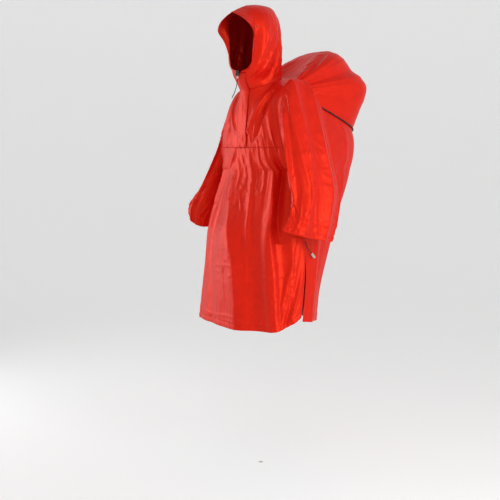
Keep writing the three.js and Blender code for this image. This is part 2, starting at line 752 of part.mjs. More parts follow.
function packCordPoints() {
  const out = PACK_CORD.diameter / 2 + PACK_CORD.clear;
  return backSkirt.points[0]
    .map((point, c) => point.clone().addScaledVector(backSkirt.normals[0][c], out))
    .slice(1, -1);
}

function turnedSolid(outline, sides) {
  const profile = outline.map(([radius, z]) => new THREE.Vector2(radius, z));
  return new THREE.LatheGeometry([...profile, profile[0]], sides).rotateX(Math.PI / 2);
}

const FABRIC = new THREE.MeshStandardMaterial({ color: "#d5211c", roughness: 0.45, metalness: 0 });
const ELASTIC = new THREE.MeshStandardMaterial({ color: "#1c1716", roughness: 0.8, metalness: 0 });
const PLASTIC = new THREE.MeshStandardMaterial({ color: "#1a1a1b", roughness: 0.4, metalness: 0 });
const GREY = new THREE.MeshStandardMaterial({ color: "#b1b4ab", roughness: 0.4, metalness: 0 });

const coat = new THREE.Group();
coat.name = "raincoat";
function add(name, geometry, material) {
  const mesh = new THREE.Mesh(geometry, material);
  mesh.name = name;
  coat.add(mesh);
  return mesh;
}

const ALL_SIDES = ["top", "bottom", "first", "last"];
add("front_yoke", wall(yoke, ALL_SIDES), FABRIC);
add("front_skirt", wall(frontSkirt, ["top", "first", "last"]), FABRIC);
add("pack_cover", wall(packCover, ALL_SIDES), FABRIC);
add("back_skirt", wall(backSkirt, ["top", "first", "last"]), FABRIC);
add("sleeve_left", wall(sleeveLeft, ["top"]), FABRIC);
add("sleeve_right", wall(sleeveRight, ["top"]), FABRIC);
add("hood_left", wall(hoodLeft, ALL_SIDES), FABRIC);
add("hood_right", wall(hoodRight, ALL_SIDES), FABRIC);
add("hood_brim", wall(brim, ["first"]), FABRIC);
add("placket", wall(placket, []), FABRIC);
add("pack_cord", cord(packCordPoints(), PACK_CORD.diameter, PACK_CORD.steps), ELASTIC);

// Chin lock, its clip and its cord
const roundEnds = (radius, height, round) => [
  [AXIS, -height / 2],
  [radius - round, -height / 2],
  [radius, round - height / 2],
  [radius, height / 2 - round],
  [radius - round, height / 2],
  [AXIS, height / 2],
];
const lockOutline = [
  [AXIS, -CHIN_LOCK.height / 2],
  [CHIN_LOCK.radius, -CHIN_LOCK.height / 2],
  [CHIN_LOCK.radius, 0],
  [CHIN_LOCK.waist, CHIN_LOCK.step],
  [CHIN_LOCK.waist, CHIN_LOCK.height / 2],
  [AXIS, CHIN_LOCK.height / 2],
];
const lockPlace = turned(vec(0, CHIN_LOCK.forward, CHIN_LOCK.z), PLACKET.throatRow / HOOD_ROWS);
add("chin_lock", turnedSolid(lockOutline, ROUND_SIDES), PLASTIC).position.copy(lockPlace);
const clipPlace = lockPlace.clone();
clipPlace.z -= (CHIN_LOCK.height + CHIN_CLIP.height) / 2 + JOINT_GAP;
const clipOutline = roundEnds(CHIN_CLIP.radius, CHIN_CLIP.height, CHIN_CLIP.round);
add("chin_clip", turnedSolid(clipOutline, ROUND_SIDES), GREY).position.copy(clipPlace);
const chinStart = clipPlace.clone();
chinStart.z -= CHIN_CLIP.height / 2 + JOINT_GAP;
const chinPoints = rowsOf(3).map((t) => {
  const sway = vec(CHIN_CORD.drift * t * t, CHIN_CORD.forward * t * t, -CHIN_CORD.length * t);
  return chinStart.clone().add(sway);
});
add("chin_cord", cord(chinPoints, CHIN_CORD.diameter, CHIN_CORD.steps), ELASTIC);

// Cords and pulls at the tops of the side slits
for (const [side, name] of [[1, "left"], [-1, "right"]]) {
  const seam = sidePoint(SIDE_CORD.z);
  const path = rowsOf(3).map((t) => {
    const bend = t * t;
    return vec(
      side * (seam.x + SIDE_CORD.stand + SIDE_CORD.out * Math.sqrt(t)),
      seam.y + SIDE_CORD.back * bend,
      seam.z - SIDE_CORD.drop * t,
    );
  });
  add("side_cord_" + name, cord(path, SIDE_CORD.diameter, SIDE_CORD.steps), ELASTIC);
  const end = path[path.length - 1];
  const along = end.clone().sub(path[path.length - 2]).normalize();
  const pullOutline = roundEnds(SIDE_PULL.radius, SIDE_PULL.length, SIDE_PULL.round);
  const pull = add("side_pull_" + name, turnedSolid(pullOutline, ROUND_SIDES), GREY);
  pull.position.copy(end).addScaledVector(along, SIDE_PULL.length / 2 + JOINT_GAP);
  pull.quaternion.setFromUnitVectors(vec(0, 0, 1), along);
  pull.scale.set(SIDE_PULL.flat, 1, 1);
}

export default coat;
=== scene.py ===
import math

import bpy
import numpy as np
from mathutils import Matrix, Vector


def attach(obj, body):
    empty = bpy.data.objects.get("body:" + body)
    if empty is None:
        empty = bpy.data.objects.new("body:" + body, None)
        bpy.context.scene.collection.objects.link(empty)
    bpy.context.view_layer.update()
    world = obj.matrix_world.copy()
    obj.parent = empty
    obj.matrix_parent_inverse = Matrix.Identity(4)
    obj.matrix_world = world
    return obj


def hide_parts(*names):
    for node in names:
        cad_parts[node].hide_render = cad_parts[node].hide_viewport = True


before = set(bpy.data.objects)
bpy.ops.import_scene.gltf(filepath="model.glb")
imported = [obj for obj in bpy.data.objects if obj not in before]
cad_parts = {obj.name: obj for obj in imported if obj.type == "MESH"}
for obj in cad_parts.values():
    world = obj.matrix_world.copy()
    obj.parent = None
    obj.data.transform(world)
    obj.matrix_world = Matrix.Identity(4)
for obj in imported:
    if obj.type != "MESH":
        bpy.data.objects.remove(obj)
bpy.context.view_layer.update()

scene = bpy.context.scene
mm = 0.001
wallThickness = 0.7


# Tables and curves, in millimetres

def table(names, *rows):
    return {name: np.array([row[i] for row in rows], float) for i, name in enumerate(names.split())}


def value(rows, key, at):
    x = rows["at"]
    y = rows[key]
    at = np.clip(at, x[0], x[-1])
    slope = np.empty(len(x))
    slope[1:-1] = (y[2:] - y[:-2]) / (x[2:] - x[:-2])
    slope[0] = (y[1] - y[0]) / (x[1] - x[0])
    slope[-1] = (y[-1] - y[-2]) / (x[-1] - x[-2])
    i = np.clip(np.searchsorted(x, at, "right") - 1, 0, len(x) - 2)
    span = x[i + 1] - x[i]
    t = (at - x[i]) / span
    rise = (y[i + 1] - y[i]) * (3 * t ** 2 - 2 * t ** 3)
    return y[i] + rise + span * (slope[i] * (t ** 3 - 2 * t ** 2 + t) + slope[i + 1] * (t ** 3 - t ** 2))


def clamp(x):
    return np.clip(x, 0, 1)


def ease(x):
    return clamp(x) ** 2 * (3 - 2 * clamp(x))


def stack(x, y, z):
    return np.stack(np.broadcast_arrays(np.asarray(x, float), y, z), -1)


def foldHeight(folds, across, along, sharp=2.0):
    height = 0.0
    for top, low, start, middle, end, size, width in folds:
        t = clamp((along - top) / (low - top))
        centre = start * (1 - t) * (1 - 2 * t) + end * t * (2 * t - 1) + middle * 4 * t * (1 - t)
        offset = np.abs(across - centre) / width
        height = height + size * np.sqrt(np.sin(np.pi * t)) * np.exp(-offset ** sharp)
    return height


# Smooth noise on a lattice, from 0 to 1, the same on every run
def noise(x, y, seed, size=64):
    lattice = np.random.default_rng(seed).random((size, size))
    i = np.floor(x).astype(int)
    j = np.floor(y).astype(int)
    u = ease(x - i)
    v = ease(y - j)
    nextI = (i + 1) % size
    nextJ = (j + 1) % size
    a = lattice[i % size, j % size] * (1 - u) + lattice[nextI, j % size] * u
    b = lattice[i % size, nextJ] * (1 - u) + lattice[nextI, nextJ] * u
    return a * (1 - v) + b * v


# Crinkles of thin coated cloth: sharp crests with wide flats between, longer one way
def crinkle(across, along, crest, length, seed):
    warp = noise(across / crest / 2.7, along / length / 1.6, seed + 7) * 3
    field = noise(across / crest + warp, along / length, seed)
    second = noise(across / crest * 2.1 - warp, along / length * 1.7 + warp, seed + 3)
    ridge = 1 - np.abs(2 * field - 1)
    return ridge ** 3 + 0.45 * (1 - np.abs(2 * second - 1)) ** 3 - 0.35


# Crinkles gathered in patches, with smooth cloth between them
def patches(across, along, size, seed):
    return 0.25 + 1.1 * ease((noise(across / size, along / size / 1.8, seed) - 0.42) * 3.2)


# Stiff cloth hangs in flat panes: each lies between two lines and meets the next in a soft edge
def paneHeight(across, along, rows, lines, depths, fadeIn, fadeOut):
    edges = [np.interp(along, rows, line) for line in lines]
    height = 0.0
    for left, right, depth in zip(edges[:-1], edges[1:], depths):
        t = clamp((across - left) / (right - left))
        height = height - depth * 4 * t * (1 - t)
    start = ease((along - fadeIn[0]) / (fadeIn[1] - fadeIn[0]))
    return height * start * ease((fadeOut[1] - along) / (fadeOut[1] - fadeOut[0]))


# A turned hem: a doubled edge, drawn in a little along its stitches
def hemRelief(across, fromEdge, seed, deep=20):
    band = 0.6 * ease((deep - fromEdge) / 3) - 0.9 * np.exp(-((fromEdge - deep) / 2.5) ** 2)
    puckers = 2 * crinkle(across, fromEdge, 13, 70, seed) * np.exp(-((fromEdge - deep) / 15) ** 2)
    return band + puckers


# Tents: creases with two flat flanks, each of its own width, and a crisp crest
def tentHeight(folds, across, along):
    height = 0.0
    for top, low, start, middle, end, size, leftWidth, rightWidth in folds:
        t = clamp((along - top) / (low - top))
        centre = start * (1 - t) * (1 - 2 * t) + end * t * (2 * t - 1) + middle * 4 * t * (1 - t)
        offset = across - centre
        flank = np.where(offset < 0, -offset / leftWidth, offset / rightWidth)
        height = height + size * np.sqrt(np.sin(np.pi * t)) * np.clip(1 - flank, 0, 1)
    return height


neckSize = dict(halfWidth=77, halfDepth=82, z=-32, tilt=26)
armSize = dict(x=187, y=8, z=-208, lean=43, front=60, rear=92, halfHeight=158)
yokeZ = -280
cinchAngle = math.radians(32)
frontHem = dict(middle=-972, lift=52, start=0.58)
backHemEdge = -936
slitSpread = 4

# Half widths and the drop of the panels, which give the crinkles their real size
frontHalf = 430
backHalf = 420
packHalf = 300
panelDrop = 800

# Rows of the solids that the grids follow: 20 down a side, 11 of them above the slit; 25 down the
# back, 5 of them along the armhole; 14 up the hood, the brim from row 6 on
sideRows = 20
slitRows = 11
backRows = 25
bladeRows = 5
openRow = bladeRows + slitRows
hoodRows = 14
brimRow = 6

side = table("at x y",
    (-990, 285, -18), (-942, 283, -14), (-850, 276, 2), (-750, 269, 14),
    (-650, 261, 18), (-550, 252, 12), (-450, 242, 9), (-366, 230, 8))

front = table("at y turn",
    (-1010, -222, 90), (-900, -216, 90), (-750, -208, 90), (-615, -196, 90),
    (-500, -152, 89), (-400, -116, 87), (-366, -106, 84), (-338, -100, 68),
    (-310, -95, 58), (-280, -92, 53), (-200, -90, 50), (-120, -87, 53), (-50, -83, 58))

pack = table("at y z half power",
    (0, 84, 6, 120, 2.4), (0.16, 132, 4, 126, 2.8), (0.28, 176, 40, 134, 2),
    (0.38, 228, 86, 144, 2.2), (0.48, 282, 108, 156, 2.9), (0.58, 330, 92, 164, 3.6),
    (0.68, 378, 49, 174, 4), (0.78, 412, -1, 182, 5.4), (0.86, 430, -54, 185, 6.4),
    (0.93, 418, -132, 176, 5), (1, 390, -218, 166, 4.4))

back = table("at y z half power",
    (0, 390, -218, 166, 4.4), (0.1, 386, -284, 174, 4.2), (0.25, 358, -400, 182, 3.8),
    (0.42, 304, -530, 202, 3), (0.62, 237, -690, 238, 2.4), (0.82, 180, -840, 266, 2.1),
    (1, 167, -962, 279, 2))

sleeveNames = "at topX topY topZ lowX lowY lowZ front rear pitch"
sleeveLeft = table(sleeveNames,
    (0, 144, 8, -50, 230, 8, -366, 60, 92, 0), (1, 197, 30, -20, 253, 8, -374, 84, 118, 0),
    (2, 258, 24, -140, 263, 10, -394, 98, 120, 0), (3, 318, 22, -296, 266, 14, -436, 106, 120, 0),
    (4, 354, 24, -430, 270, 14, -494, 104, 128, 0), (5, 366, 12, -536, 277, 4, -556, 112, 118, 10),
    (6, 362, 0, -620, 282, -8, -588, 130, 100, 24))
sleeveRight = table(sleeveNames,
    (0, 144, 8, -50, 230, 8, -366, 60, 92, 0), (1, 190, 26, -80, 250, 16, -374, 60, 96, 0),
    (2, 232, 30, -174, 260, 20, -396, 66, 84, 0), (3, 290, 14, -302, 264, 4, -440, 70, 88, 0),
    (4, 338, -20, -420, 268, -26, -492, 76, 90, 0), (5, 366, -70, -502, 278, -60, -556, 68, 86, 0),
    (6, 360, -96, -548, 286, -82, -610, 50, 66, 0))

# Folds: top, low, start, middle, end, height, width
frontFolds = [
    (-250, -1180, 0.68, 0.57, 0.76, 13, 0.05), (-230, -640, 0.86, 0.7, 0.7, -15, 0.06),
    (-300, -1300, -0.26, 0.22, 0.34, 11, 0.11), (-380, -1250, 0.22, 0.42, 0.5, -11, 0.1),
    (-284, -690, 0.2, 0.27, 0.38, 8, 0.045), (-284, -420, -0.17, -0.21, -0.25, 7, 0.05),
    (-500, -1200, -0.34, -0.2, -0.12, -9, 0.09), (-690, -1060, 0.87, 0.79, 0.73, 10, 0.04),
    (-660, -1040, 0.95, 0.88, 0.8, -9, 0.04), (-420, -1150, -0.56, -0.62, -0.58, 12, 0.07),
    (-380, -1100, -0.76, -0.8, -0.8, -11, 0.06), (-40, -232, 0.84, 0.5, 0.14, 12, 0.08),
    (-60, -262, 0.92, 0.62, 0.26, -11, 0.07), (-80, -330, 0.7, 0.78, 0.8, 8, 0.05),
    (-40, -230, -0.84, -0.54, -0.2, 9, 0.08), (-60, -270, -0.92, -0.7, -0.4, -9, 0.07)]
packFolds = [
    (0.2, 1.15, 0.36, 0.32, 0.3, 7, 0.035), (0.2, 1.15, 0.46, 0.43, 0.42, -7, 0.035),
    (0.3, 1.15, 0.56, 0.54, 0.52, 7, 0.035), (0.2, 1.15, 0.72, 0.68, 0.64, -8, 0.04),
    (0.1, 1.1, 0.84, 0.82, 0.8, 7, 0.045)]
backFolds = [
    (0.02, 1.3, 0.44, 0.5, 0.4, 13, 0.07), (0.02, 1.2, 0.2, 0.28, 0.2, -12, 0.08),
    (0.02, 1.3, -0.06, 0.02, 0.04, 12, 0.07), (0.02, 1.2, -0.26, -0.22, -0.28, -12, 0.08),
    (0.02, 1.3, -0.44, -0.5, -0.44, 12, 0.07), (0.3, 1.3, 0.66, 0.7, 0.66, -10, 0.06),
    (0.3, 1.3, 0.8, 0.82, 0.84, 8, 0.05), (0.3, 1.3, -0.7, -0.72, -0.64, -10, 0.06)]
sleeveFolds = [
    (0.4, 5, 100, 90, 80, 10, 12), (0.5, 5, 124, 116, 104, -13, 13), (0.6, 7, 150, 142, 132, 10, 14),
    (3.4, 5.4, 60, 92, 130, -9, 12), (1.2, 6.6, 176, 172, 166, -7, 12), (0.8, 6.8, 206, 204, 200, 8, 14),
    (1.5, 6, 240, 246, 236, -8, 14), (1, 6.8, 276, 284, 270, 9, 16)]
hoodFolds = [
    (0.02, 0.62, 0.3, 0.36, 0.5, 5, 0.06), (0.05, 0.7, 0.44, 0.5, 0.62, -5, 0.06),
    (0.1, 0.8, 0.62, 0.66, 0.72, 5, 0.07)]

# Finer creases with sharper crests, in the same order
backCreases = [
    (0.0, 0.4, 0.36, 0.4, 0.46, 4, 0.02), (0.05, 0.5, 0.12, 0.1, 0.16, 4, 0.02),
    (0.0, 0.45, -0.14, -0.12, -0.06, 4, 0.02), (0.04, 0.5, -0.36, -0.34, -0.38, 4, 0.02),
    (0.0, 0.35, 0.62, 0.58, 0.52, 4, 0.02), (0.5, 1.1, 0.3, 0.34, 0.3, 3, 0.02),
    (0.45, 1.1, -0.08, -0.14, -0.1, 3, 0.02), (0.4, 1.1, -0.56, -0.58, -0.52, 3, 0.02),
    (0.35, 1.1, 0.76, 0.78, 0.8, 3, 0.018), (0.3, 1.1, 0.9, 0.9, 0.92, 3, 0.018)]
packCreases = [
    (0.15, 1.1, 0.3, 0.26, 0.25, 4, 0.018), (0.25, 1.1, 0.41, 0.38, 0.38, 4, 0.016),
    (0.15, 1.1, 0.5, 0.49, 0.48, 4, 0.016), (0.2, 1.1, 0.62, 0.6, 0.58, 4, 0.018),
    (0.15, 1.0, 0.78, 0.76, 0.73, 4, 0.018), (0.1, 1.0, 0.9, 0.9, 0.88, 4, 0.018)]
hoodCreases = [
    (0.03, 0.5, 0.2, 0.3, 0.46, 3, 0.025), (0.06, 0.6, 0.34, 0.42, 0.58, 3, 0.025),
    (0.05, 0.55, 0.5, 0.56, 0.68, 3, 0.025), (0.1, 0.7, 0.7, 0.74, 0.8, 3, 0.03),
    (0.3, 0.9, 0.3, 0.28, 0.34, 2, 0.03), (0.35, 0.8, 0.52, 0.5, 0.56, 2, 0.03),
    (0.1, 0.5, 0.1, 0.24, 0.3, 3, 0.02), (0.2, 0.66, 0.2, 0.3, 0.42, -3, 0.02),
    (0.28, 0.6, 0.6, 0.5, 0.46, 3, 0.018), (0.16, 0.44, 0.66, 0.5, 0.36, 3, 0.02),
    (0.34, 0.72, 0.14, 0.24, 0.3, 2.5, 0.016), (0.1, 0.34, 0.36, 0.3, 0.16, 2.5, 0.018)]


def neck(angle):
    return stack(neckSize["halfWidth"] * np.sin(angle), -neckSize["halfDepth"] * np.cos(angle),
        neckSize["z"] - neckSize["tilt"] * np.cos(angle))


def armhole(angle, sign):
    depth = armSize["front"] if sign < 0 else armSize["rear"]
    return stack(armSize["x"] - armSize["lean"] * np.cos(angle), armSize["y"] + sign * depth * np.sin(angle),
        armSize["z"] + armSize["halfHeight"] * np.cos(angle))


underarmZ = armSize["z"] - armSize["halfHeight"]


def armAngle(z):
    return np.arccos(clamp((z - underarmZ) / (2 * armSize["halfHeight"])) * 2 - 1)


def sidePoint(z):
    return stack(value(side, "x", z), value(side, "y", z), z)


# Neck seam and shoulder seam as one line, from the middle (0) to the shoulder (1)
def collar(across, share, rear):
    turn = clamp(across / share) * math.pi / 2
    ring = neck(math.pi - turn if rear else turn)
    along = clamp((across - share) / (1 - share))[:, None]
    return ring + (armhole(0, 1) - ring) * along * (across > share)[:, None]


def arc(edge, y, z, turn, across):
    turn = turn[:, None]
    share = (np.cos(across * turn) - np.cos(turn)) / (1 - np.cos(turn))
    return stack(edge[:, :1] * np.sin(across * turn) / np.sin(turn),
        edge[:, 1:2] + (y[:, None] - edge[:, 1:2]) * share,
        edge[:, 2:] + (z[:, None] - edge[:, 2:]) * share)


def frontSection(edge, z, across):
    return arc(edge, value(front, "y", z), z, np.radians(value(front, "turn", z)), across)


# Panes of the front skirt between lines at these heights, from the right to the left of the wearer
frontPaneRows = (-990, -930, -810, -710, -550, -450, -300)
frontPaneLines = [
    (-0.5, -0.5, -0.52, -0.54, -0.56, -0.55, -0.5), (0.27, 0.26, 0.24, 0.21, 0.07, -0.07, -0.12),
    (0.74, 0.71, 0.68, 0.65, 0.6, 0.56, 0.56), (0.92, 0.88, 0.86, 0.84, 0.82, 0.8, 0.84)]
frontPaneDepths = (18, 10, 12)
frontTents = [
    (-240, -1240, 0.54, 0.63, 0.78, 13, 0.1, 0.05), (-240, -520, 0.4, 0.42, 0.44, 4, 0.04, 0.03),
    (-270, -640, 0.86, 0.68, 0.72, -7, 0.05, 0.05), (-284, -690, 0.2, 0.28, 0.38, 5, 0.03, 0.035),
    (-390, -470, 0.2, 0.27, 0.3, -4, 0.02, 0.03), (-284, -400, -0.18, -0.2, -0.26, 4, 0.03, 0.02),
    (-455, -530, 0.1, 0.15, 0.21, 3.5, 0.02, 0.02), (-640, -800, 0.3, 0.34, 0.34, 3, 0.02, 0.02),
    (-700, -900, 0.84, 0.78, 0.74, 7, 0.03, 0.03), (-690, -1040, 1.02, 0.9, 0.78, 8, 0.04, 0.03),
    (-640, -860, 0.9, 0.86, 0.84, -5, 0.03, 0.03), (-560, -900, 0.0, 0.04, 0.1, 3, 0.04, 0.02),
    (-600, -760, -0.06, -0.02, 0.02, 3.5, 0.02, 0.03), (-480, -760, -0.34, -0.32, -0.3, -5, 0.05, 0.04),
    (-500, -1060, -0.52, -0.5, -0.5, 6, 0.05, 0.03), (-880, -990, 0.5, 0.54, 0.6, 3, 0.03, 0.02),
    (-50, -220, 0.82, 0.5, 0.16, 6, 0.06, 0.04), (-70, -262, 0.9, 0.62, 0.3, -6, 0.05, 0.05),
    (-110, -250, 0.66, 0.44, 0.3, 4, 0.03, 0.04), (-60, -190, 0.62, 0.42, 0.24, 3, 0.03, 0.03),
    (-90, -330, 0.72, 0.78, 0.8, 5, 0.025, 0.03), (-150, -276, 0.56, 0.58, 0.6, 3, 0.02, 0.03),
    (-60, -220, -0.8, -0.5, -0.24, 5, 0.05, 0.04), (-90, -260, -0.86, -0.66, -0.4, -5, 0.05, 0.05)]


# Folds of the front as one field, so that they run on across the yoke seam
def frontDetail(across, z):
    angle = across * np.radians(value(front, "turn", z))
    height = 0.8 * foldHeight(frontFolds, across, z) + tentHeight(frontTents, across, z)
    height = height + paneHeight(across, z, frontPaneRows, frontPaneLines, frontPaneDepths,
        (-300, -400), (-1300, -1400))
    height = height + 2.2 * crinkle(across * frontHalf, z, 46, 130, 3) * patches(across * frontHalf, z, 90, 4)
    height = height + 1.3 * crinkle(across * frontHalf, z, 70, 30, 11) * patches(across * frontHalf, z, 70, 5)
    for crease in ((-735, -0.35, 0.7, 1.6), (-930, -0.5, 0.6, 2.0)):
        height = height + crease[3] * np.exp(-np.abs(z - crease[0] - 6 * np.sin(across * 9)) / 5) * (
            ease((across - crease[1]) * 8) * ease((crease[2] - across) * 8))
    fromSeam = (z - yokeZ) / 15
    height = height + 1.4 * crinkle(across * frontHalf, z, 15, 60, 12) * np.exp(-fromSeam ** 2)
    height = height - 0.8 * np.exp(-(fromSeam * 5) ** 2)
    height = height * (1 - across ** 12)
    return stack(np.sin(angle), -np.cos(angle), 0 * angle) * height[..., None]


def yokeGrid(across, down):
    edge = armhole(armAngle(yokeZ) * down, -1)
    z = neck(0)[2] + (yokeZ - neck(0)[2]) * down
    points = frontSection(edge, z, across)
    top = collar(np.abs(across), 10 / 16, False)
    top[:, 0] *= np.sign(across)
    flat = frontSection(armhole(np.zeros(1), -1), neck(0)[2:], across)[0]
    points = points + (top - flat) * (clamp(1 - down / 0.7) ** 2)[:, None, None]
    fade = ease(down * 4)[:, None, None]
    return points + frontDetail(across[None, :], z[:, None] + 0 * across) * fade


def frontGrid(across, down):
    size = np.abs(across)
    lift = frontHem["lift"] * clamp((size - frontHem["start"]) / (1 - frontHem["start"])) ** 2
    z = yokeZ + (frontHem["middle"] + lift - yokeZ) * down[:, None]
    flatZ = z.ravel()
    edge = np.where((flatZ > underarmZ)[:, None], armhole(armAngle(flatZ), -1), sidePoint(flatZ))
    wide = np.broadcast_to(across, z.shape).ravel()
    turn = np.radians(value(front, "turn", flatZ))
    share = (np.cos(wide * turn) - np.cos(turn)) / (1 - np.cos(turn))
    y = edge[:, 1] + (value(front, "y", flatZ) - edge[:, 1]) * share
    points = stack(edge[:, 0] * np.sin(wide * turn) / np.sin(turn), y, flatZ).reshape(*z.shape, 3)
    points = points + frontDetail(np.broadcast_to(across, z.shape), z)
    fromHem = (1 - down[:, None]) * (yokeZ - frontHem["middle"]) + 0 * across
    return moved(points, 1, False, hemRelief(across * frontHalf + 0 * z, fromHem, 13))


# A rounded box section from the middle (0) to the edge (1)
def boxGrid(rows, edge, across, down):
    y, z, half, power = (value(rows, key, down)[:, None] for key in ("y", "z", "half", "power"))
    angle = (1 - np.abs(across)) * math.pi / 2
    cos = np.abs(np.cos(angle))
    sin = np.abs(np.sin(angle))
    reach = (cos ** power + sin ** power) ** (-1 / power)
    deep = reach * sin
    x = reach * cos * (edge[:, :1] + (half - edge[:, :1]) * deep) * np.sign(across)
    return stack(x, edge[:, 1:2] + (y - edge[:, 1:2]) * deep, edge[:, 2:] + (z - edge[:, 2:]) * deep)


def normalsOf(points, hand, wrap):
    down = np.gradient(points, axis=0)
    if wrap:
        right = np.roll(points, -1, 1) - np.roll(points, 1, 1)
    else:
        right = np.gradient(points, axis=1)
    normal = np.cross(down, right)
    return hand * normal / (np.linalg.norm(normal, axis=-1, keepdims=True) + 1e-9)


def moved(points, hand, wrap, height):
    return points + normalsOf(points, hand, wrap) * height[..., None]


def spans(count):
    return np.linspace(0, 1, count)


# Evenly spread columns from one side to the other
def sides(count):
    return np.linspace(-1, 1, count)


# Body panels
frontEdge = frontHem["middle"] + frontHem["lift"]
slitTop = underarmZ + (frontEdge - underarmZ) / sideRows * slitRows
bodyAcross = sides(201)
yokePoints = yokeGrid(bodyAcross, spans(81))
skirtDown = spans(221)
frontPoints = frontGrid(bodyAcross, skirtDown)
lastSlit = (slitTop - yokeZ) / (frontEdge - yokeZ)
spread = slitSpread * clamp((skirtDown - lastSlit) * 3)[:, None] * np.abs(bodyAcross) ** 6
frontPoints[..., 1] -= spread

packColumns = -sides(161)
packDown = spans(131)
packPoints = boxGrid(pack, armhole(cinchAngle * packDown, 1), packColumns, packDown)
packTop = collar(np.abs(packColumns), 0.5, True)
packTop[:, 0] *= np.sign(packColumns)
packFlat = boxGrid(pack, armhole(np.zeros(1), 1), packColumns, np.zeros(1))[0]
packPoints = packPoints + (packTop - packFlat) * (clamp(1 - packDown / 0.4) ** 2)[:, None, None]
packAcross = np.abs(packColumns)[None, :] + 0 * packDown[:, None]
packAlong = packDown[:, None] + 0 * packAcross
packHeight = foldHeight(packFolds, packAlong, packAcross)
packHeight = packHeight + foldHeight(packCreases, packAlong, packAcross, 1.1)
packHeight = packHeight + 2.4 * crinkle(packColumns * packHalf, packAlong * panelDrop, 50, 90, 21) * patches(
    packColumns * packHalf, packAlong * panelDrop, 90, 22)
packHeight = packHeight * (1 - packAcross ** 12) * ease((1 - packAlong) * 6) * ease(packAlong * 8)
packPoints = moved(packPoints, 1, False, packHeight)

backColumns = -bodyAcross
backRow = spans(201) * backRows
frontZ = underarmZ + (frontEdge - underarmZ) / sideRows * (clamp((backRow - bladeRows) / slitRows) * slitRows)
belowSlit = slitTop + (backHemEdge - slitTop) * (backRow - openRow) / (backRows - openRow)
lowZ = np.where(backRow > openRow, belowSlit, frontZ)
blade = armhole(cinchAngle + (math.pi - cinchAngle) * clamp(backRow / bladeRows), 1)
backEdge = np.where((backRow < bladeRows)[:, None], blade, sidePoint(lowZ))
backPoints = boxGrid(back, backEdge, backColumns, backRow / backRows)
backPoints[..., 1] += slitSpread * clamp((backRow - openRow) / 4)[:, None] * np.abs(backColumns) ** 6
backAcross = backColumns[None, :] + 0 * backRow[:, None]
backAlong = (backRow / backRows)[:, None] + 0 * backAcross
backHeight = foldHeight(backFolds, backAcross, backAlong)
backHeight = backHeight + foldHeight(backCreases, backAcross, backAlong, 1.2)
backHeight = backHeight + 2.4 * crinkle(backAcross * backHalf, backAlong * panelDrop, 46, 130, 31) * patches(
    backAcross * backHalf, backAlong * panelDrop, 90, 32)
backHeight = backHeight + hemRelief(backAcross * backHalf, (1 - backAlong) * panelDrop, 33)
backHeight = backHeight * (1 - backAcross ** 12) * ease(backAlong * backRows)
backPoints = moved(backPoints, 1, False, backHeight)


# Sleeves, from the armhole to the cuff
chest = (underarmZ - yokeZ) / (frontHem["middle"] + frontHem["lift"] - yokeZ)
loopAngles = [math.pi - armAngle(yokeZ + (frontEdge - yokeZ) * chest * i / 3) for i in (3, 2, 1, 0)]
loopAngles += [math.pi - armAngle(yokeZ) * i / 9 for i in range(8, -1, -1)]
loopAngles += [math.pi + cinchAngle * i / 12 for i in range(1, 13)]
loopAngles += [math.pi + cinchAngle + (math.pi - cinchAngle) * i / 5 for i in range(1, 5)]
loopAngles = np.array(loopAngles + [2 * math.pi])


# Panes of the sleeve, by the angle round it: under the arm 0, front 90, over the arm 180, rear 270
sleevePaneRows = (0, 2, 3, 4, 5, 6)
sleevePaneLines = [
    (58, 62, 66, 60, 52, 50), (104, 100, 94, 96, 84, 78), (160, 164, 168, 160, 152, 150),
    (204, 208, 206, 206, 200, 200), (250, 252, 250, 248, 244, 244), (330, 330, 332, 330, 328, 326)]
sleevePaneDepths = (8, 10, 8, 9, 12)
sleeveTents = [
    (0.3, 4, 86, 92, 98, 7, 7, 5), (0.5, 4.4, 112, 106, 92, -6, 6, 6), (0.2, 2.6, 128, 132, 136, 5, 5, 5),
    (0.4, 4, 134, 140, 150, 4, 5, 4), (2, 5.8, 150, 156, 148, 4, 4, 5), (3.5, 4.4, 66, 84, 104, -8, 7, 5),
    (3.7, 4.8, 70, 96, 124, 6, 5, 6), (4.3, 5.6, 84, 104, 136, 5, 5, 5), (3.9, 5.1, 56, 74, 96, -6, 6, 5),
    (1.6, 3.2, 160, 170, 186, 4, 4, 5), (3.1, 5.8, 172, 168, 178, 5, 5, 4),
    (4.2, 5.9, 124, 130, 128, 4, 4, 5), (1, 4.4, 216, 222, 214, 5, 5, 6), (2.6, 5.8, 250, 262, 256, 5, 6, 5),
    (1.4, 4.8, 296, 304, 296, 5, 6, 5), (2.9, 3.1, 140, 170, 200, 1.4, 50, 50),
    (3.8, 4.0, 130, 164, 200, 1.4, 50, 50)]

# A sleeve's rows run from the armhole (0) to the cuff (6), about 95 mm a step
cuffAt = 6
sleeveStep = 95
sleeveColumns = 168


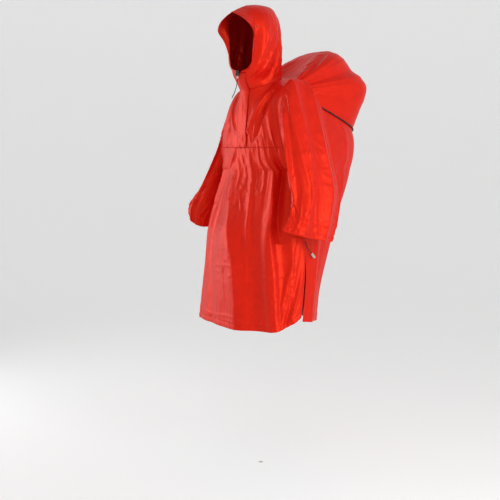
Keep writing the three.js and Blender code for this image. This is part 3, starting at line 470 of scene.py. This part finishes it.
def sleeveGrid(rows, sign, seed):
    share = np.arange(sleeveColumns) / sleeveColumns
    at = spans(171) * cuffAt
    seamSpots = np.arange(len(loopAngles))
    loop = np.interp(share * seamSpots[-1], seamSpots, loopAngles)
    even = loop + (share * 2 * math.pi - loop) * ease(at / 3)[:, None]
    get = {name: value(rows, name, at)[:, None] for name in rows if name != "at"}
    up = (1 - np.cos(even)) / 2
    reach = np.sin(even)
    deep = np.where(reach > 0, get["front"], get["rear"])
    points = stack(get["lowX"] + (get["topX"] - get["lowX"]) * up,
        get["lowY"] + (get["topY"] - get["lowY"]) * up - reach * deep,
        get["lowZ"] + (get["topZ"] - get["lowZ"]) * up + reach * get["pitch"])
    points[..., 0] *= sign
    angle = np.degrees(even)
    along = at[:, None] + 0 * angle
    height = 0.45 * foldHeight(sleeveFolds, angle, along) + 0.8 * tentHeight(sleeveTents, angle, along)
    height = height + paneHeight(angle, along, sleevePaneRows, sleevePaneLines, sleevePaneDepths,
        (0.2, 1), (6.4, 7))
    loose = ease((at - 0.2) * 2)[:, None]
    wide = np.minimum(angle, 360 - angle) * 2.2
    down = along * sleeveStep
    height = height + 2.4 * crinkle(wide, down, 40, 110, seed) * loose * patches(wide, down, 70, seed)
    height = height + 1.6 * crinkle(wide, down, 70, 26, seed + 5) * loose * patches(wide, down, 60, seed)
    height = height + hemRelief(wide, cuffAt * sleeveStep - down, seed + 9)
    return moved(points, sign, True, height)


leftPoints = sleeveGrid(sleeveLeft, 1, 41)
rightPoints = sleeveGrid(sleeveRight, -1, 51)

# Hood halves: arches from the neck seam up to the middle seam, turned over the neck
arches = [
    (0, [(0, -82, -58), (2, -106, -26), (5, -126, 6), (40, -128, 20), (56, -122, 48),
         (62, -116, 92), (64, -116, 138), (66, -120, 182), (46, -122, 225), (0, -122, 249)]),
    (0.2, [(45, -66, -53), (50, -84, -24), (63, -96, 8), (77, -98, 40), (86, -92, 76),
           (90, -86, 114), (90, -84, 160), (80, -84, 208), (46, -84, 248), (0, -84, 261)]),
    (0.5, [(77, 0, -32), (77, -4, -4), (81, -11, 28), (86, -16, 62), (89, -18, 96),
           (90, -18, 132), (88, -18, 172), (76, -18, 222), (42, -18, 257), (0, -18, 268)]),
    (0.8, [(45, 66, -11), (46, 65, 14), (52, 61, 44), (58, 55, 74), (61, 50, 104),
           (61, 47, 134), (59, 44, 168), (50, 41, 212), (29, 38, 250), (0, 36, 262)]),
    (1, [(0, 82, -6), (0, 82, 20), (0, 84, 48), (0, 85, 76), (0, 85, 104),
         (0, 83, 134), (0, 80, 166), (0, 76, 202), (0, 67, 232), (0, 54, 251)])]

hoodTurn = math.radians(15)


# Points of the hood turned over the neck, more the higher they are
def turned(points, up):
    turn = hoodTurn * ease((up - 0.08) / 0.19)
    x = points[..., 0] * np.cos(turn) - points[..., 1] * np.sin(turn)
    y = points[..., 0] * np.sin(turn) + points[..., 1] * np.cos(turn)
    return stack(x, y, points[..., 2])


def hoodSurface(angle, up):
    lines = []
    for _, line in arches:
        rows = table("at x y z", *[(i, *point) for i, point in enumerate(line)])
        lines.append([value(rows, key, up * (len(line) - 1)) for key in "xyz"])
    heights = np.array(lines)
    places = np.array([arch[0] for arch in arches])
    grid = np.empty((len(up), len(angle), 3))
    for r in range(len(up)):
        for k in range(3):
            grid[r, :, k] = value({"at": places, "v": heights[:, k, r]}, "v", angle / math.pi)
    ring = clamp(1 - up * hoodRows)[:, None, None]
    return grid + (neck(angle)[None] - grid[:1]) * ring


def hoodGrid(sign):
    angle = math.pi * spans(121)
    up = spans(131)
    points = hoodSurface(angle, up)
    points[..., 0] *= sign
    points = turned(points, up[:, None])
    share = angle[None, :] / math.pi + 0 * up[:, None]
    rise = up[:, None] + 0 * share
    fade = np.sin(math.pi * share)
    height = foldHeight(hoodFolds, share, rise) * fade
    height = height + foldHeight(hoodCreases, share, rise, 1.2) * fade
    fine = crinkle(share * 280 + rise * 120, rise * 330, 26, 60, 61)
    height = height + 2.4 * fine * fade * ease(rise * 6)
    return moved(points, -sign, False, height)


hoodLeft = hoodGrid(1)
hoodRight = hoodGrid(-1)

brim = table("at x y z",
    (0, 65, -126, 116), (0.3, 89, -152, 158), (0.55, 70, -168, 186),
    (0.8, 38, -173, 209), (1, 0, -176, 226))


def brimGrid():
    share = spans(61)
    edge = hoodSurface(np.zeros(1), (brimRow + (hoodRows - brimRow) * share) / hoodRows)[:, 0]
    tip = stack(value(brim, "x", share), value(brim, "y", share), value(brim, "z", share))
    half = edge[:, None] + (tip - edge)[:, None] * spans(25)[None, :, None]
    other = half[::-1][1:] * np.array([-1, 1, 1])
    points = turned(np.concatenate([half, other]), 1)
    across = spans(121)[:, None] * 380 + 0 * spans(25)
    out = spans(25)[None, :] * 60 + 0 * across
    return moved(points, 1, False, 1.2 * crinkle(across, out, 34, 60, 71) * ease(spans(25) * 3)[None, :])


brimPoints = brimGrid()

print("grids made")


# Colours: a hex value in sRGB turned linear
def colour(code):
    parts = [int(code[i:i + 2], 16) / 255 for i in (1, 3, 5)]
    return tuple(c / 12.92 if c <= 0.04045 else ((c + 0.055) / 1.055) ** 2.4 for c in parts) + (1,)


def newMaterial(name, code, rough):
    material = bpy.data.materials.new(name)
    material.use_nodes = True
    shader = material.node_tree.nodes["Principled BSDF"]
    shader.inputs["Base Color"].default_value = colour(code)
    shader.inputs["Roughness"].default_value = rough
    return material, material.node_tree, shader


def addNode(tree, kind, **settings):
    node = tree.nodes.new(kind)
    for name, setting in settings.items():
        if name in node.inputs:
            node.inputs[name].default_value = setting
        else:
            setattr(node, name, setting)
    return node


# Thread spacing in millimetres, and how much faster than its Scale a wave's bands turn
threadSpacing = 0.5
waveRate = 20


# Coated cloth: satin face, fine crinkles, a tight plain weave in real millimetres
def coatedCloth(name, face, shadedInside, rough):
    material, tree, shader = newMaterial(name, face, rough)
    link = tree.links.new
    place = addNode(tree, "ShaderNodeTexCoord")
    broad = addNode(tree, "ShaderNodeTexNoise", Scale=26, Detail=5, Roughness=0.6)
    fine = addNode(tree, "ShaderNodeTexNoise", Scale=190, Detail=3, Roughness=0.55)
    link(place.outputs["Object"], broad.inputs["Vector"])
    link(place.outputs["Object"], fine.inputs["Vector"])
    # Painted shade: the face red goes 12% darker where the broad crinkle bump is low, in its hollows
    hollowShadeMask = addNode(tree, "ShaderNodeMapRange")
    hollowShadeMask.inputs["From Min"].default_value = 0.3
    hollowShadeMask.inputs["From Max"].default_value = 0.7
    link(broad.outputs["Fac"], hollowShadeMask.inputs["Value"])
    shade = addNode(tree, "ShaderNodeMix", data_type="RGBA")
    shade.inputs["A"].default_value = tuple(0.88 * c for c in colour(face)[:3]) + (1,)
    shade.inputs["B"].default_value = colour(face)
    link(hollowShadeMask.outputs["Result"], shade.inputs["Factor"])
    # Painted shade: the inner sheet of the cloth takes the darker red given as its second colour, the shaded
    # tone of the face
    sideMix = addNode(tree, "ShaderNodeMix", data_type="RGBA")
    sideMix.inputs["B"].default_value = colour(shadedInside)
    shadedInsideFlag = addNode(tree, "ShaderNodeAttribute", attribute_name="shadedInside")
    link(shadedInsideFlag.outputs["Fac"], sideMix.inputs["Factor"])
    link(shade.outputs["Result"], sideMix.inputs["A"])
    link(sideMix.outputs["Result"], shader.inputs["Base Color"])
    grid = addNode(tree, "ShaderNodeUVMap", uv_map="cloth")
    warp = addNode(tree, "ShaderNodeTexWave", Scale=1000 / threadSpacing / waveRate, wave_type="BANDS")
    link(grid.outputs["UV"], warp.inputs["Vector"])
    weave = addNode(tree, "ShaderNodeBump", Strength=0.05, Distance=0.0002)
    crinkles = addNode(tree, "ShaderNodeBump", Strength=0.35, Distance=0.004)
    grain = addNode(tree, "ShaderNodeBump", Strength=0.12, Distance=0.001)
    link(warp.outputs["Fac"], weave.inputs["Height"])
    link(broad.outputs["Fac"], crinkles.inputs["Height"])
    link(fine.outputs["Fac"], grain.inputs["Height"])
    link(weave.outputs["Normal"], grain.inputs["Normal"])
    link(grain.outputs["Normal"], crinkles.inputs["Normal"])
    link(crinkles.outputs["Normal"], shader.inputs["Normal"])
    shader.inputs["Metallic"].default_value = 0.2
    shader.inputs["Specular IOR Level"].default_value = 0.7
    shader.inputs["Specular Tint"].default_value = colour("#ff8a50")
    return material


# The face red, and a darker red painted on the inside as shade
clothRed = coatedCloth("polyurethane_coated_polyester", "#e01d14", "#b3120b", 0.4)


def addObject(name, data):
    made = bpy.data.objects.new(name, data)
    scene.collection.objects.link(made)
    return made


# A finished piece stays still, and stands for the nodes named, if any
def dress(piece, slot, *nodes):
    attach(piece, "root")
    if nodes:
        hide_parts(*nodes)


# A closed thin shell on a grid of points given in millimetres
def shell(name, points, hand, wrap=False, thickness=wallThickness):
    rows, columns = points.shape[:2]
    normals = normalsOf(points, hand, wrap)
    outer = points.reshape(-1, 3)
    inner = (points - normals * thickness).reshape(-1, 3)
    spanCount = columns if wrap else columns - 1
    r, c = np.meshgrid(np.arange(rows - 1), np.arange(spanCount), indexing="ij")
    a = (r * columns + c).ravel()
    b = ((r + 1) * columns + c).ravel()
    d = (r * columns + (c + 1) % columns).ravel()
    e = ((r + 1) * columns + (c + 1) % columns).ravel()
    count = rows * columns
    quads = [np.stack([a, b, e, d], 1), np.stack([a, d, e, b], 1) + count]
    edge = np.arange(spanCount)
    following = (edge + 1) % columns
    last = (rows - 1) * columns
    rims = [np.stack([edge, following, following + count, edge + count], 1),
        np.stack([last + edge, last + edge + count, last + following + count, last + following], 1)]
    if not wrap:
        side = np.arange(rows - 1) * columns
        below = side + columns
        far = columns - 1
        rims += [np.stack([side, side + count, below + count, below], 1),
            np.stack([side + far, below + far, below + far + count, side + far + count], 1)]
    faces = np.concatenate(quads + rims)
    if hand < 0:
        faces = faces[:, ::-1]
    mesh = bpy.data.meshes.new(name)
    mesh.from_pydata((np.concatenate([outer, inner]) * mm).tolist(), [], faces.tolist())
    smooth = np.zeros(len(faces), bool)
    smooth[:2 * len(a)] = True
    mesh.polygons.foreach_set("use_smooth", smooth)
    # Marks the inner sheet, which the cloth material paints darker red as painted shade
    shadedInside = mesh.attributes.new("shadedInside", "FLOAT", "POINT")
    shadedInside.data.foreach_set("value", np.repeat([0.0, 1.0], count).astype(np.float32))
    across = np.linalg.norm(np.diff(points, axis=1), axis=-1).mean(0)
    along = np.linalg.norm(np.diff(points, axis=0), axis=-1).mean(1)
    u, v = np.meshgrid(np.append(0, np.cumsum(across)), np.append(0, np.cumsum(along)))
    flat = np.stack([u.ravel(), v.ravel()], 1) * mm
    corners = np.empty(len(mesh.loops), np.int32)
    mesh.loops.foreach_get("vertex_index", corners)
    mesh.uv_layers.new(name="cloth").data.foreach_set("uv", flat[corners % count].ravel())
    mesh.materials.append(clothRed)
    mesh.validate()
    mesh.update()
    return addObject(name, mesh)


# One cloth piece: its shell, its flat cut in metres and the solid that it stands for
def clothPiece(name, points, hand, node, wrap=False, thickness=wallThickness):
    piece = shell(name, points, hand, wrap, thickness)
    dress(piece, "cloth", node)
    return piece


clothPiece("front_skirt_cloth", frontPoints, 1, "front_skirt")
clothPiece("front_yoke_cloth", yokePoints, 1, "front_yoke")
clothPiece("pack_cover_cloth", packPoints, 1, "pack_cover")
clothPiece("back_skirt_cloth", backPoints, 1, "back_skirt")
clothPiece("sleeve_left_cloth", leftPoints, 1, "sleeve_left", True)
clothPiece("sleeve_right_cloth", rightPoints, -1, "sleeve_right",
    True)
clothPiece("hood_left_cloth", hoodLeft, -1, "hood_left")
clothPiece("hood_right_cloth", hoodRight, 1, "hood_right")
clothPiece("hood_brim_cloth", brimPoints, 1, "hood_brim")
print("cloth made")


# Placket over the short zip: a strip laid on the throat of the hood and on the yoke
def laidStrip(rows, widths, clear):
    lines = []
    for points, outward in rows:
        steps = np.linalg.norm(np.diff(points, axis=0), axis=1)
        place = np.append(0, np.cumsum(steps))
        place = place - np.interp(0.5, np.linspace(0, 1, len(place)), place)
        lifted = points + outward * clear
        lines.append(stack(*[np.interp(widths, place, lifted[:, k]) for k in range(3)]))
    return np.array(lines)


throat = []
for r in range(28, 1, -3):
    line = np.concatenate([hoodRight[r, ::-1], hoodLeft[r]])
    outward = np.concatenate([normalsOf(hoodRight, 1, False)[r, ::-1], normalsOf(hoodLeft, -1, False)[r]])
    throat.append((line, outward))
bib = [(yokePoints[r], normalsOf(yokePoints, 1, False)[r]) for r in range(len(yokePoints))]
placketAcross = np.linspace(-30, 30, 41)
placketClear = 3.2
smoothingPasses = 10
placketPoints = laidStrip(throat + bib, placketAcross, placketClear)
for _ in range(smoothingPasses):
    placketPoints[1:-1] = (placketPoints[:-2] + 2 * placketPoints[1:-1] + placketPoints[2:]) / 4
placketFade = ease((1 - np.abs(sides(len(placketAcross)))) * 6)[None, :]
rowStep = 3.4
rowsAlong = np.arange(len(placketPoints))[:, None] * rowStep + 0 * placketFade
pucker = crinkle(rowsAlong, 0 * rowsAlong + placketAcross[None, :], 9, 60, 81)
placketPoints = moved(placketPoints, 1, False, 0.7 * pucker * placketFade)
clothPiece("placket_cloth", placketPoints, 1, "placket",
    thickness=1.4)
print("placket made")


# A round cord along a line, left a curve or turned into a mesh
def tube(name, points, diameter, material, asMesh=False):
    curve = bpy.data.curves.new(name, "CURVE")
    curve.dimensions = "3D"
    curve.bevel_depth = diameter / 2 * mm
    curve.bevel_resolution = 3
    curve.use_fill_caps = True
    curve.resolution_u = 1
    line = curve.splines.new("POLY")
    line.points.add(len(points) - 1)
    line.points.foreach_set("co", np.append(points * mm, np.ones((len(points), 1)), 1).ravel())
    curve.materials.append(material)
    piece = addObject(name, curve)
    if not asMesh:
        return piece
    depsgraph = bpy.context.evaluated_depsgraph_get()
    mesh = bpy.data.meshes.new_from_object(piece.evaluated_get(depsgraph))
    mesh.name = name
    solid = addObject(name + "_round", mesh)
    bpy.data.objects.remove(piece)
    mesh.polygons.foreach_set("use_smooth", np.ones(len(mesh.polygons), bool))
    return solid


# Braided elastic: fine slanting ribs and a dull sheen
def braid(name, code):
    material, tree, shader = newMaterial(name, code, 0.7)
    place = addNode(tree, "ShaderNodeTexCoord")
    ribs = addNode(tree, "ShaderNodeTexWave", Scale=260, wave_type="BANDS",
        bands_direction="DIAGONAL", Distortion=1)
    bump = addNode(tree, "ShaderNodeBump", Strength=0.5, Distance=0.0003)
    tree.links.new(place.outputs["Object"], ribs.inputs["Vector"])
    tree.links.new(ribs.outputs["Fac"], bump.inputs["Height"])
    tree.links.new(bump.outputs["Normal"], shader.inputs["Normal"])
    return material


# Moulded plastic with a faint orange peel
def moulded(name, code, rough):
    material, tree, shader = newMaterial(name, code, rough)
    place = addNode(tree, "ShaderNodeTexCoord")
    peel = addNode(tree, "ShaderNodeTexNoise", Scale=900, Detail=2)
    bump = addNode(tree, "ShaderNodeBump", Strength=0.15, Distance=0.0002)
    tree.links.new(place.outputs["Object"], peel.inputs["Vector"])
    tree.links.new(peel.outputs["Fac"], bump.inputs["Height"])
    tree.links.new(bump.outputs["Normal"], shader.inputs["Normal"])
    return material


elastic = braid("braided_elastic", "#17130f")
blackPlastic = moulded("moulded_black_acetal", "#151515", 0.38)
greyPlastic = moulded("moulded_grey_nylon", "#a9aca4", 0.42)
eyeletMetal = moulded("painted_brass_eyelet", "#8e120c", 0.35)

# Pack cord: an elastic drawn round the cover where it meets the back
cordStand = 3.4
bareColumns = 12
cordLine = backPoints[0] + normalsOf(backPoints, 1, False)[0] * cordStand
cordLine[:, 2] += 0.6 * np.sin(np.arange(len(cordLine)) / 7)
packCord = tube("pack_cord_elastic", cordLine[bareColumns:-bareColumns], 5, elastic, asMesh=True)
dress(packCord, "cord", "pack_cord")


# Turned body on a given axis, with flat ends unless its outline is closed
def turnedBody(name, outline, material, place, along=(0, 0, 1), flatten=1, sideCount=40, closed=False):
    profile = np.array(outline, float)
    angle = np.linspace(0, 2 * math.pi, sideCount, endpoint=False)
    ring = stack(profile[:, :1] * np.cos(angle) * flatten, profile[:, :1] * np.sin(angle),
        profile[:, 1:] + 0 * angle)
    count = len(profile)
    faces = []
    for r in range(count - 1):
        for c in range(sideCount):
            n = (c + 1) % sideCount
            low, high = r * sideCount, (r + 1) * sideCount
            faces.append([low + c, low + n, high + n, high + c])
    if not closed:
        faces.append(list(range(sideCount))[::-1])
        faces.append([(count - 1) * sideCount + c for c in range(sideCount)])
    turn = Vector((0, 0, 1)).rotation_difference(Vector(along)).to_matrix()
    spots = ring.reshape(-1, 3) @ np.array(turn).T + np.array(place)
    mesh = bpy.data.meshes.new(name)
    mesh.from_pydata((spots * mm).tolist(), [], faces)
    mesh.polygons.foreach_set("use_smooth", np.array([len(f) == 4 for f in faces]))
    mesh.materials.append(material)
    return addObject(name, mesh)


def rounded(radius, low, high, edge):
    turns = np.linspace(0, math.pi / 2, 7)
    start = [(radius - edge + edge * math.sin(t), low + edge - edge * math.cos(t)) for t in turns]
    end = [(radius - edge + edge * math.cos(t), high - edge + edge * math.sin(t)) for t in turns]
    return [(0.01, low), *start, *end, (0.01, high)]


# Eyelets of the drawcord: a rolled ring on each side of the face opening
eyelet = dict(row=96, column=5, radius=3.4, roll=1.1)
for sign, points, hand, label in ((1, hoodLeft, -1, "left"), (-1, hoodRight, 1, "right")):
    spot = points[eyelet["row"], eyelet["column"]]
    outward = normalsOf(points, hand, False)[eyelet["row"], eyelet["column"]]
    turns = np.linspace(0, 2 * math.pi, 13)
    outline = [(eyelet["radius"] + eyelet["roll"] * math.cos(t), eyelet["roll"] * math.sin(t)) for t in turns]
    ring = turnedBody("eyelet_" + label, outline, eyeletMetal, spot + outward * 0.5, outward, closed=True)
    dress(ring, "clip")

chin = dict(row=3, forward=-135.4, z=2, radius=8, height=20, clipRadius=3.6, clipHeight=11,
    length=72, drift=-20, reach=-12, gap=0.3)
lockPlace = turned(np.array([0, chin["forward"], chin["z"]]), chin["row"] / hoodRows)
half = chin["height"] / 2
lockShape = rounded(chin["radius"], -half, 0.6, 1.1)[:-1] + [(6.6, 0.9), (6.4, 1.6), (6.4, 7.6)]
lipTurns = np.linspace(0, math.pi / 2, 6)
lockShape += [(6.4 - 1.2 + 1.2 * math.cos(t), 8.8 + 1.2 * math.sin(t)) for t in lipTurns]
lockShape += [(0.01, half)]
lock = turnedBody("chin_lock_body", lockShape, blackPlastic, lockPlace)
dress(lock, "lock", "chin_lock")

clipPlace = lockPlace - np.array([0, 0, (chin["height"] + chin["clipHeight"]) / 2 + chin["gap"]])
clipHalf = chin["clipHeight"] / 2
clipShape = rounded(chin["clipRadius"], -clipHalf, clipHalf, 1)
clip = turnedBody("chin_clip_body", clipShape, greyPlastic, clipPlace)
dress(clip, "clip", "chin_clip")

t = spans(41)
chinStart = clipPlace - np.array([0, 0, chin["clipHeight"] / 2 + chin["gap"]])
chinLine = chinStart + stack(chin["drift"] * t ** 2, chin["reach"] * t ** 2, -chin["length"] * t)
chinCord = tube("chin_cord_elastic", chinLine, 3, elastic)
dress(chinCord, "cord", "chin_cord")

sideCord = dict(z=-634, stand=2.2, drop=46, back=22, out=12)
pullShape = rounded(4.6, -11, 11, 1.2)
pullStand = 11.3
for sign, label in ((1, "left"), (-1, "right")):
    seam = sidePoint(sideCord["z"])
    t = spans(41) ** 2
    line = stack(sign * (seam[0] + sideCord["stand"] + sideCord["out"] * np.sqrt(t)),
        seam[1] + sideCord["back"] * t ** 2, seam[2] - sideCord["drop"] * t)
    # The cord's point at two thirds of its run gives the pull its direction
    before = stack(sign * (seam[0] + sideCord["stand"] + sideCord["out"] * math.sqrt(2 / 3)),
        seam[1] + sideCord["back"] * 4 / 9, seam[2] - sideCord["drop"] * 2 / 3)
    length = np.linalg.norm(np.diff(line, axis=0), axis=1).sum() * mm
    along = (line[-1] - before) / np.linalg.norm(line[-1] - before)
    pullPlace = line[-1] + along * pullStand
    pull = turnedBody("side_pull_" + label + "_body", pullShape, greyPlastic, pullPlace, along, flatten=0.5)
    dress(pull, "clip", "side_pull_" + label)
    cord = tube("side_cord_" + label + "_elastic", line, 3, elastic)
    dress(cord, "cord", "side_cord_" + label)
print("cords made")


# Stitches: short round threads spaced along lines on the cloth
def threadAlong(name, lines, pitch, length, width, material):
    spots = np.concatenate(lines) * mm
    starts = np.cumsum([0] + [len(line) for line in lines])
    edges = [(i, i + 1) for a, b in zip(starts[:-1], starts[1:]) for i in range(a, b - 1)]
    mesh = bpy.data.meshes.new(name + "_path")
    mesh.from_pydata(spots.tolist(), edges, [])
    path = addObject(name + "_path", mesh)
    group = bpy.data.node_groups.new(name, "GeometryNodeTree")
    face = group.interface
    face.new_socket("Geometry", in_out="INPUT", socket_type="NodeSocketGeometry")
    sockets = [face.new_socket(label, in_out="INPUT", socket_type="NodeSocketFloat")
        for label in ("Pitch", "Length", "Width")]
    cover = face.new_socket("Material", in_out="INPUT", socket_type="NodeSocketMaterial")
    face.new_socket("Geometry", in_out="OUTPUT", socket_type="NodeSocketGeometry")
    given = group.nodes.new("NodeGroupInput")
    result = group.nodes.new("NodeGroupOutput")
    line = group.nodes.new("GeometryNodeMeshToCurve")
    points = addNode(group, "GeometryNodeCurveToPoints", mode="LENGTH")
    thread = addNode(group, "GeometryNodeMeshCylinder", Vertices=5)
    radius = addNode(group, "ShaderNodeMath", operation="MULTIPLY")
    radius.inputs[1].default_value = 0.5
    placed = group.nodes.new("GeometryNodeInstanceOnPoints")
    real = group.nodes.new("GeometryNodeRealizeInstances")
    paint = group.nodes.new("GeometryNodeSetMaterial")
    link = group.links.new
    link(given.outputs["Geometry"], line.inputs["Mesh"])
    link(line.outputs["Curve"], points.inputs["Curve"])
    link(given.outputs["Pitch"], points.inputs["Length"])
    link(given.outputs["Width"], radius.inputs[0])
    link(radius.outputs["Value"], thread.inputs["Radius"])
    link(given.outputs["Length"], thread.inputs["Depth"])
    link(points.outputs["Points"], placed.inputs["Points"])
    link(points.outputs["Rotation"], placed.inputs["Rotation"])
    link(thread.outputs["Mesh"], placed.inputs["Instance"])
    link(placed.outputs["Instances"], real.inputs["Geometry"])
    link(real.outputs["Geometry"], paint.inputs["Geometry"])
    link(given.outputs["Material"], paint.inputs["Material"])
    link(paint.outputs["Geometry"], result.inputs["Geometry"])
    modifier = path.modifiers.new(name, "NODES")
    modifier.node_group = group
    for socket, amount in zip(sockets, (pitch * mm, length * mm, width * mm)):
        modifier[socket.identifier] = amount
    modifier[cover.identifier] = material
    depsgraph = bpy.context.evaluated_depsgraph_get()
    made = bpy.data.meshes.new_from_object(path.evaluated_get(depsgraph))
    made.name = name
    bpy.data.objects.remove(path)
    dress(addObject(name, made), "cloth")


# Spun thread: two plies on a slant, with painted shade, the colour darker where the ply bump is low in the
# grooves between them
def twistedThread(name, code):
    material, tree, shader = newMaterial(name, code, 0.6)
    place = addNode(tree, "ShaderNodeTexCoord")
    ply = addNode(tree, "ShaderNodeTexWave", Scale=420, bands_direction="DIAGONAL")
    # Painted shade: 30% darker where the ply bump is low
    grooveShade = addNode(tree, "ShaderNodeMix", data_type="RGBA")
    grooveShade.inputs["A"].default_value = tuple(0.7 * c for c in colour(code)[:3]) + (1,)
    grooveShade.inputs["B"].default_value = colour(code)
    bump = addNode(tree, "ShaderNodeBump", Strength=0.4, Distance=0.0001)
    tree.links.new(place.outputs["Object"], ply.inputs["Vector"])
    tree.links.new(ply.outputs["Fac"], grooveShade.inputs["Factor"])
    tree.links.new(grooveShade.outputs["Result"], shader.inputs["Base Color"])
    tree.links.new(ply.outputs["Fac"], bump.inputs["Height"])
    tree.links.new(bump.outputs["Normal"], shader.inputs["Normal"])
    return material


threadRed = twistedThread("polyester_thread", "#c4160f")
threadStand = 0.2


def seamRow(points, hand, row, wrap=False):
    line = (points + normalsOf(points, hand, wrap) * threadStand)[row]
    return np.concatenate([line, line[:1]]) if wrap else line


def seamColumn(points, hand, column, first=0):
    return (points + normalsOf(points, hand, False) * threadStand)[first:, column]


# Grid rows of the stitched hems, and the rows where the stitches of the side edges start
hemRow = dict(front=213, back=194, pack=127, cuff=165, hood=127)
sideFrom = dict(front=30, back=120)
seams = [seamRow(frontPoints, 1, hemRow["front"]), seamRow(frontPoints, 1, 2), seamRow(yokePoints, 1, 2),
    seamRow(backPoints, 1, hemRow["back"]), seamRow(packPoints, 1, 2), seamRow(packPoints, 1, hemRow["pack"]),
    seamRow(leftPoints, 1, hemRow["cuff"], True), seamRow(rightPoints, -1, hemRow["cuff"], True),
    seamRow(leftPoints, 1, 2, True), seamRow(rightPoints, -1, 2, True),
    seamRow(hoodLeft, -1, 2), seamRow(hoodRight, 1, 2),
    seamRow(hoodLeft, -1, hemRow["hood"]), seamRow(hoodRight, 1, hemRow["hood"]),
    seamColumn(hoodLeft, -1, 3), seamColumn(hoodRight, 1, 3), seamColumn(brimPoints, 1, 21),
    seamColumn(brimPoints, 1, 2), seamColumn(placketPoints, 1, 2), seamColumn(placketPoints, 1, 38),
    seamRow(placketPoints, 1, len(placketPoints) - 2),
    seamColumn(frontPoints, 1, 2, sideFrom["front"]), seamColumn(frontPoints, 1, 198, sideFrom["front"]),
    seamColumn(backPoints, 1, 2, sideFrom["back"]), seamColumn(backPoints, 1, 198, sideFrom["back"])]
threadAlong("seam_stitches", seams, pitch=3.2, length=2.3, width=0.45, material=threadRed)
print("stitches made")


# Floor, light and camera
view = dict(azimuth=55, rise=6, distance=3.8)
viewTurn = math.radians(view["azimuth"])
right = Vector((math.cos(viewTurn), math.sin(viewTurn), 0))


# A round paper cove: level under the part, then curved up all round into the background
def cove(name, z, flat, bend, height, material, sideCount=96):
    turns = np.linspace(0, math.pi / 2, 17)
    reach = np.concatenate([[0.01], flat + bend * np.sin(turns), [flat + bend]])
    level = np.concatenate([[z], z + bend - bend * np.cos(turns), [z + height]])
    angle = np.linspace(0, 2 * math.pi, sideCount, endpoint=False)
    spots = stack(reach[:, None] * np.cos(angle), reach[:, None] * np.sin(angle), level[:, None])
    r, c = np.meshgrid(np.arange(len(reach) - 1), np.arange(sideCount), indexing="ij")
    n = (c + 1) % sideCount
    low = r * sideCount
    high = low + sideCount
    faces = np.stack([low + c, high + c, high + n, low + n], -1).reshape(-1, 4)
    mesh = bpy.data.meshes.new(name)
    mesh.from_pydata(spots.reshape(-1, 3).tolist(), [], faces.tolist())
    mesh.polygons.foreach_set("use_smooth", np.ones(len(faces), bool))
    mesh.materials.append(material)
    return addObject(name, mesh)


pale, _, paleShader = newMaterial("matt_paper", "#f2f2f2", 0.9)
paleShader.inputs["Emission Color"].default_value = (1, 1, 1, 1)
paleShader.inputs["Emission Strength"].default_value = 0.17
floor = cove("floor", z=-1.56, flat=5, bend=3, height=9, material=pale)
scene.view_settings.view_transform = "Standard"

world = bpy.data.worlds.new("studio")
world.use_nodes = True
world.node_tree.nodes["Background"].inputs["Color"].default_value = (1, 1, 1, 1)
world.node_tree.nodes["Background"].inputs["Strength"].default_value = 0.42
scene.world = world

target = right * -0.044 + Vector((0, 0, -0.688))


def softbox(name, place, size, power):
    lamp = bpy.data.lights.new(name, "AREA")
    lamp.shape = "RECTANGLE"
    lamp.size, lamp.size_y = size
    lamp.energy = power
    holder = addObject(name, lamp)
    aim = (target + Vector((0, 0, 0.2)) - place).to_track_quat("-Z", "Y")
    holder.matrix_world = Matrix.Translation(place) @ aim.to_matrix().to_4x4()


def around(azimuth, rise, distance):
    a, e = math.radians(azimuth), math.radians(rise)
    return target + Vector((math.sin(a) * math.cos(e), -math.cos(a) * math.cos(e), math.sin(e))) * distance


softbox("key", around(azimuth=-56, rise=12, distance=2.6), size=(0.9, 1.8), power=17)
softbox("side", around(azimuth=96, rise=12, distance=2.6), size=(0.7, 1.8), power=27)
softbox("front", around(azimuth=56, rise=46, distance=3), size=(1.4, 1.4), power=5)

lens = bpy.data.cameras.new("camera")
lens.lens = 68.4
lens.sensor_width = 36
camera = addObject("camera", lens)
place = around(**view)
aim = (target - place).to_track_quat("-Z", "Y")
camera.matrix_world = Matrix.Translation(place) @ aim.to_matrix().to_4x4()
scene.camera = camera
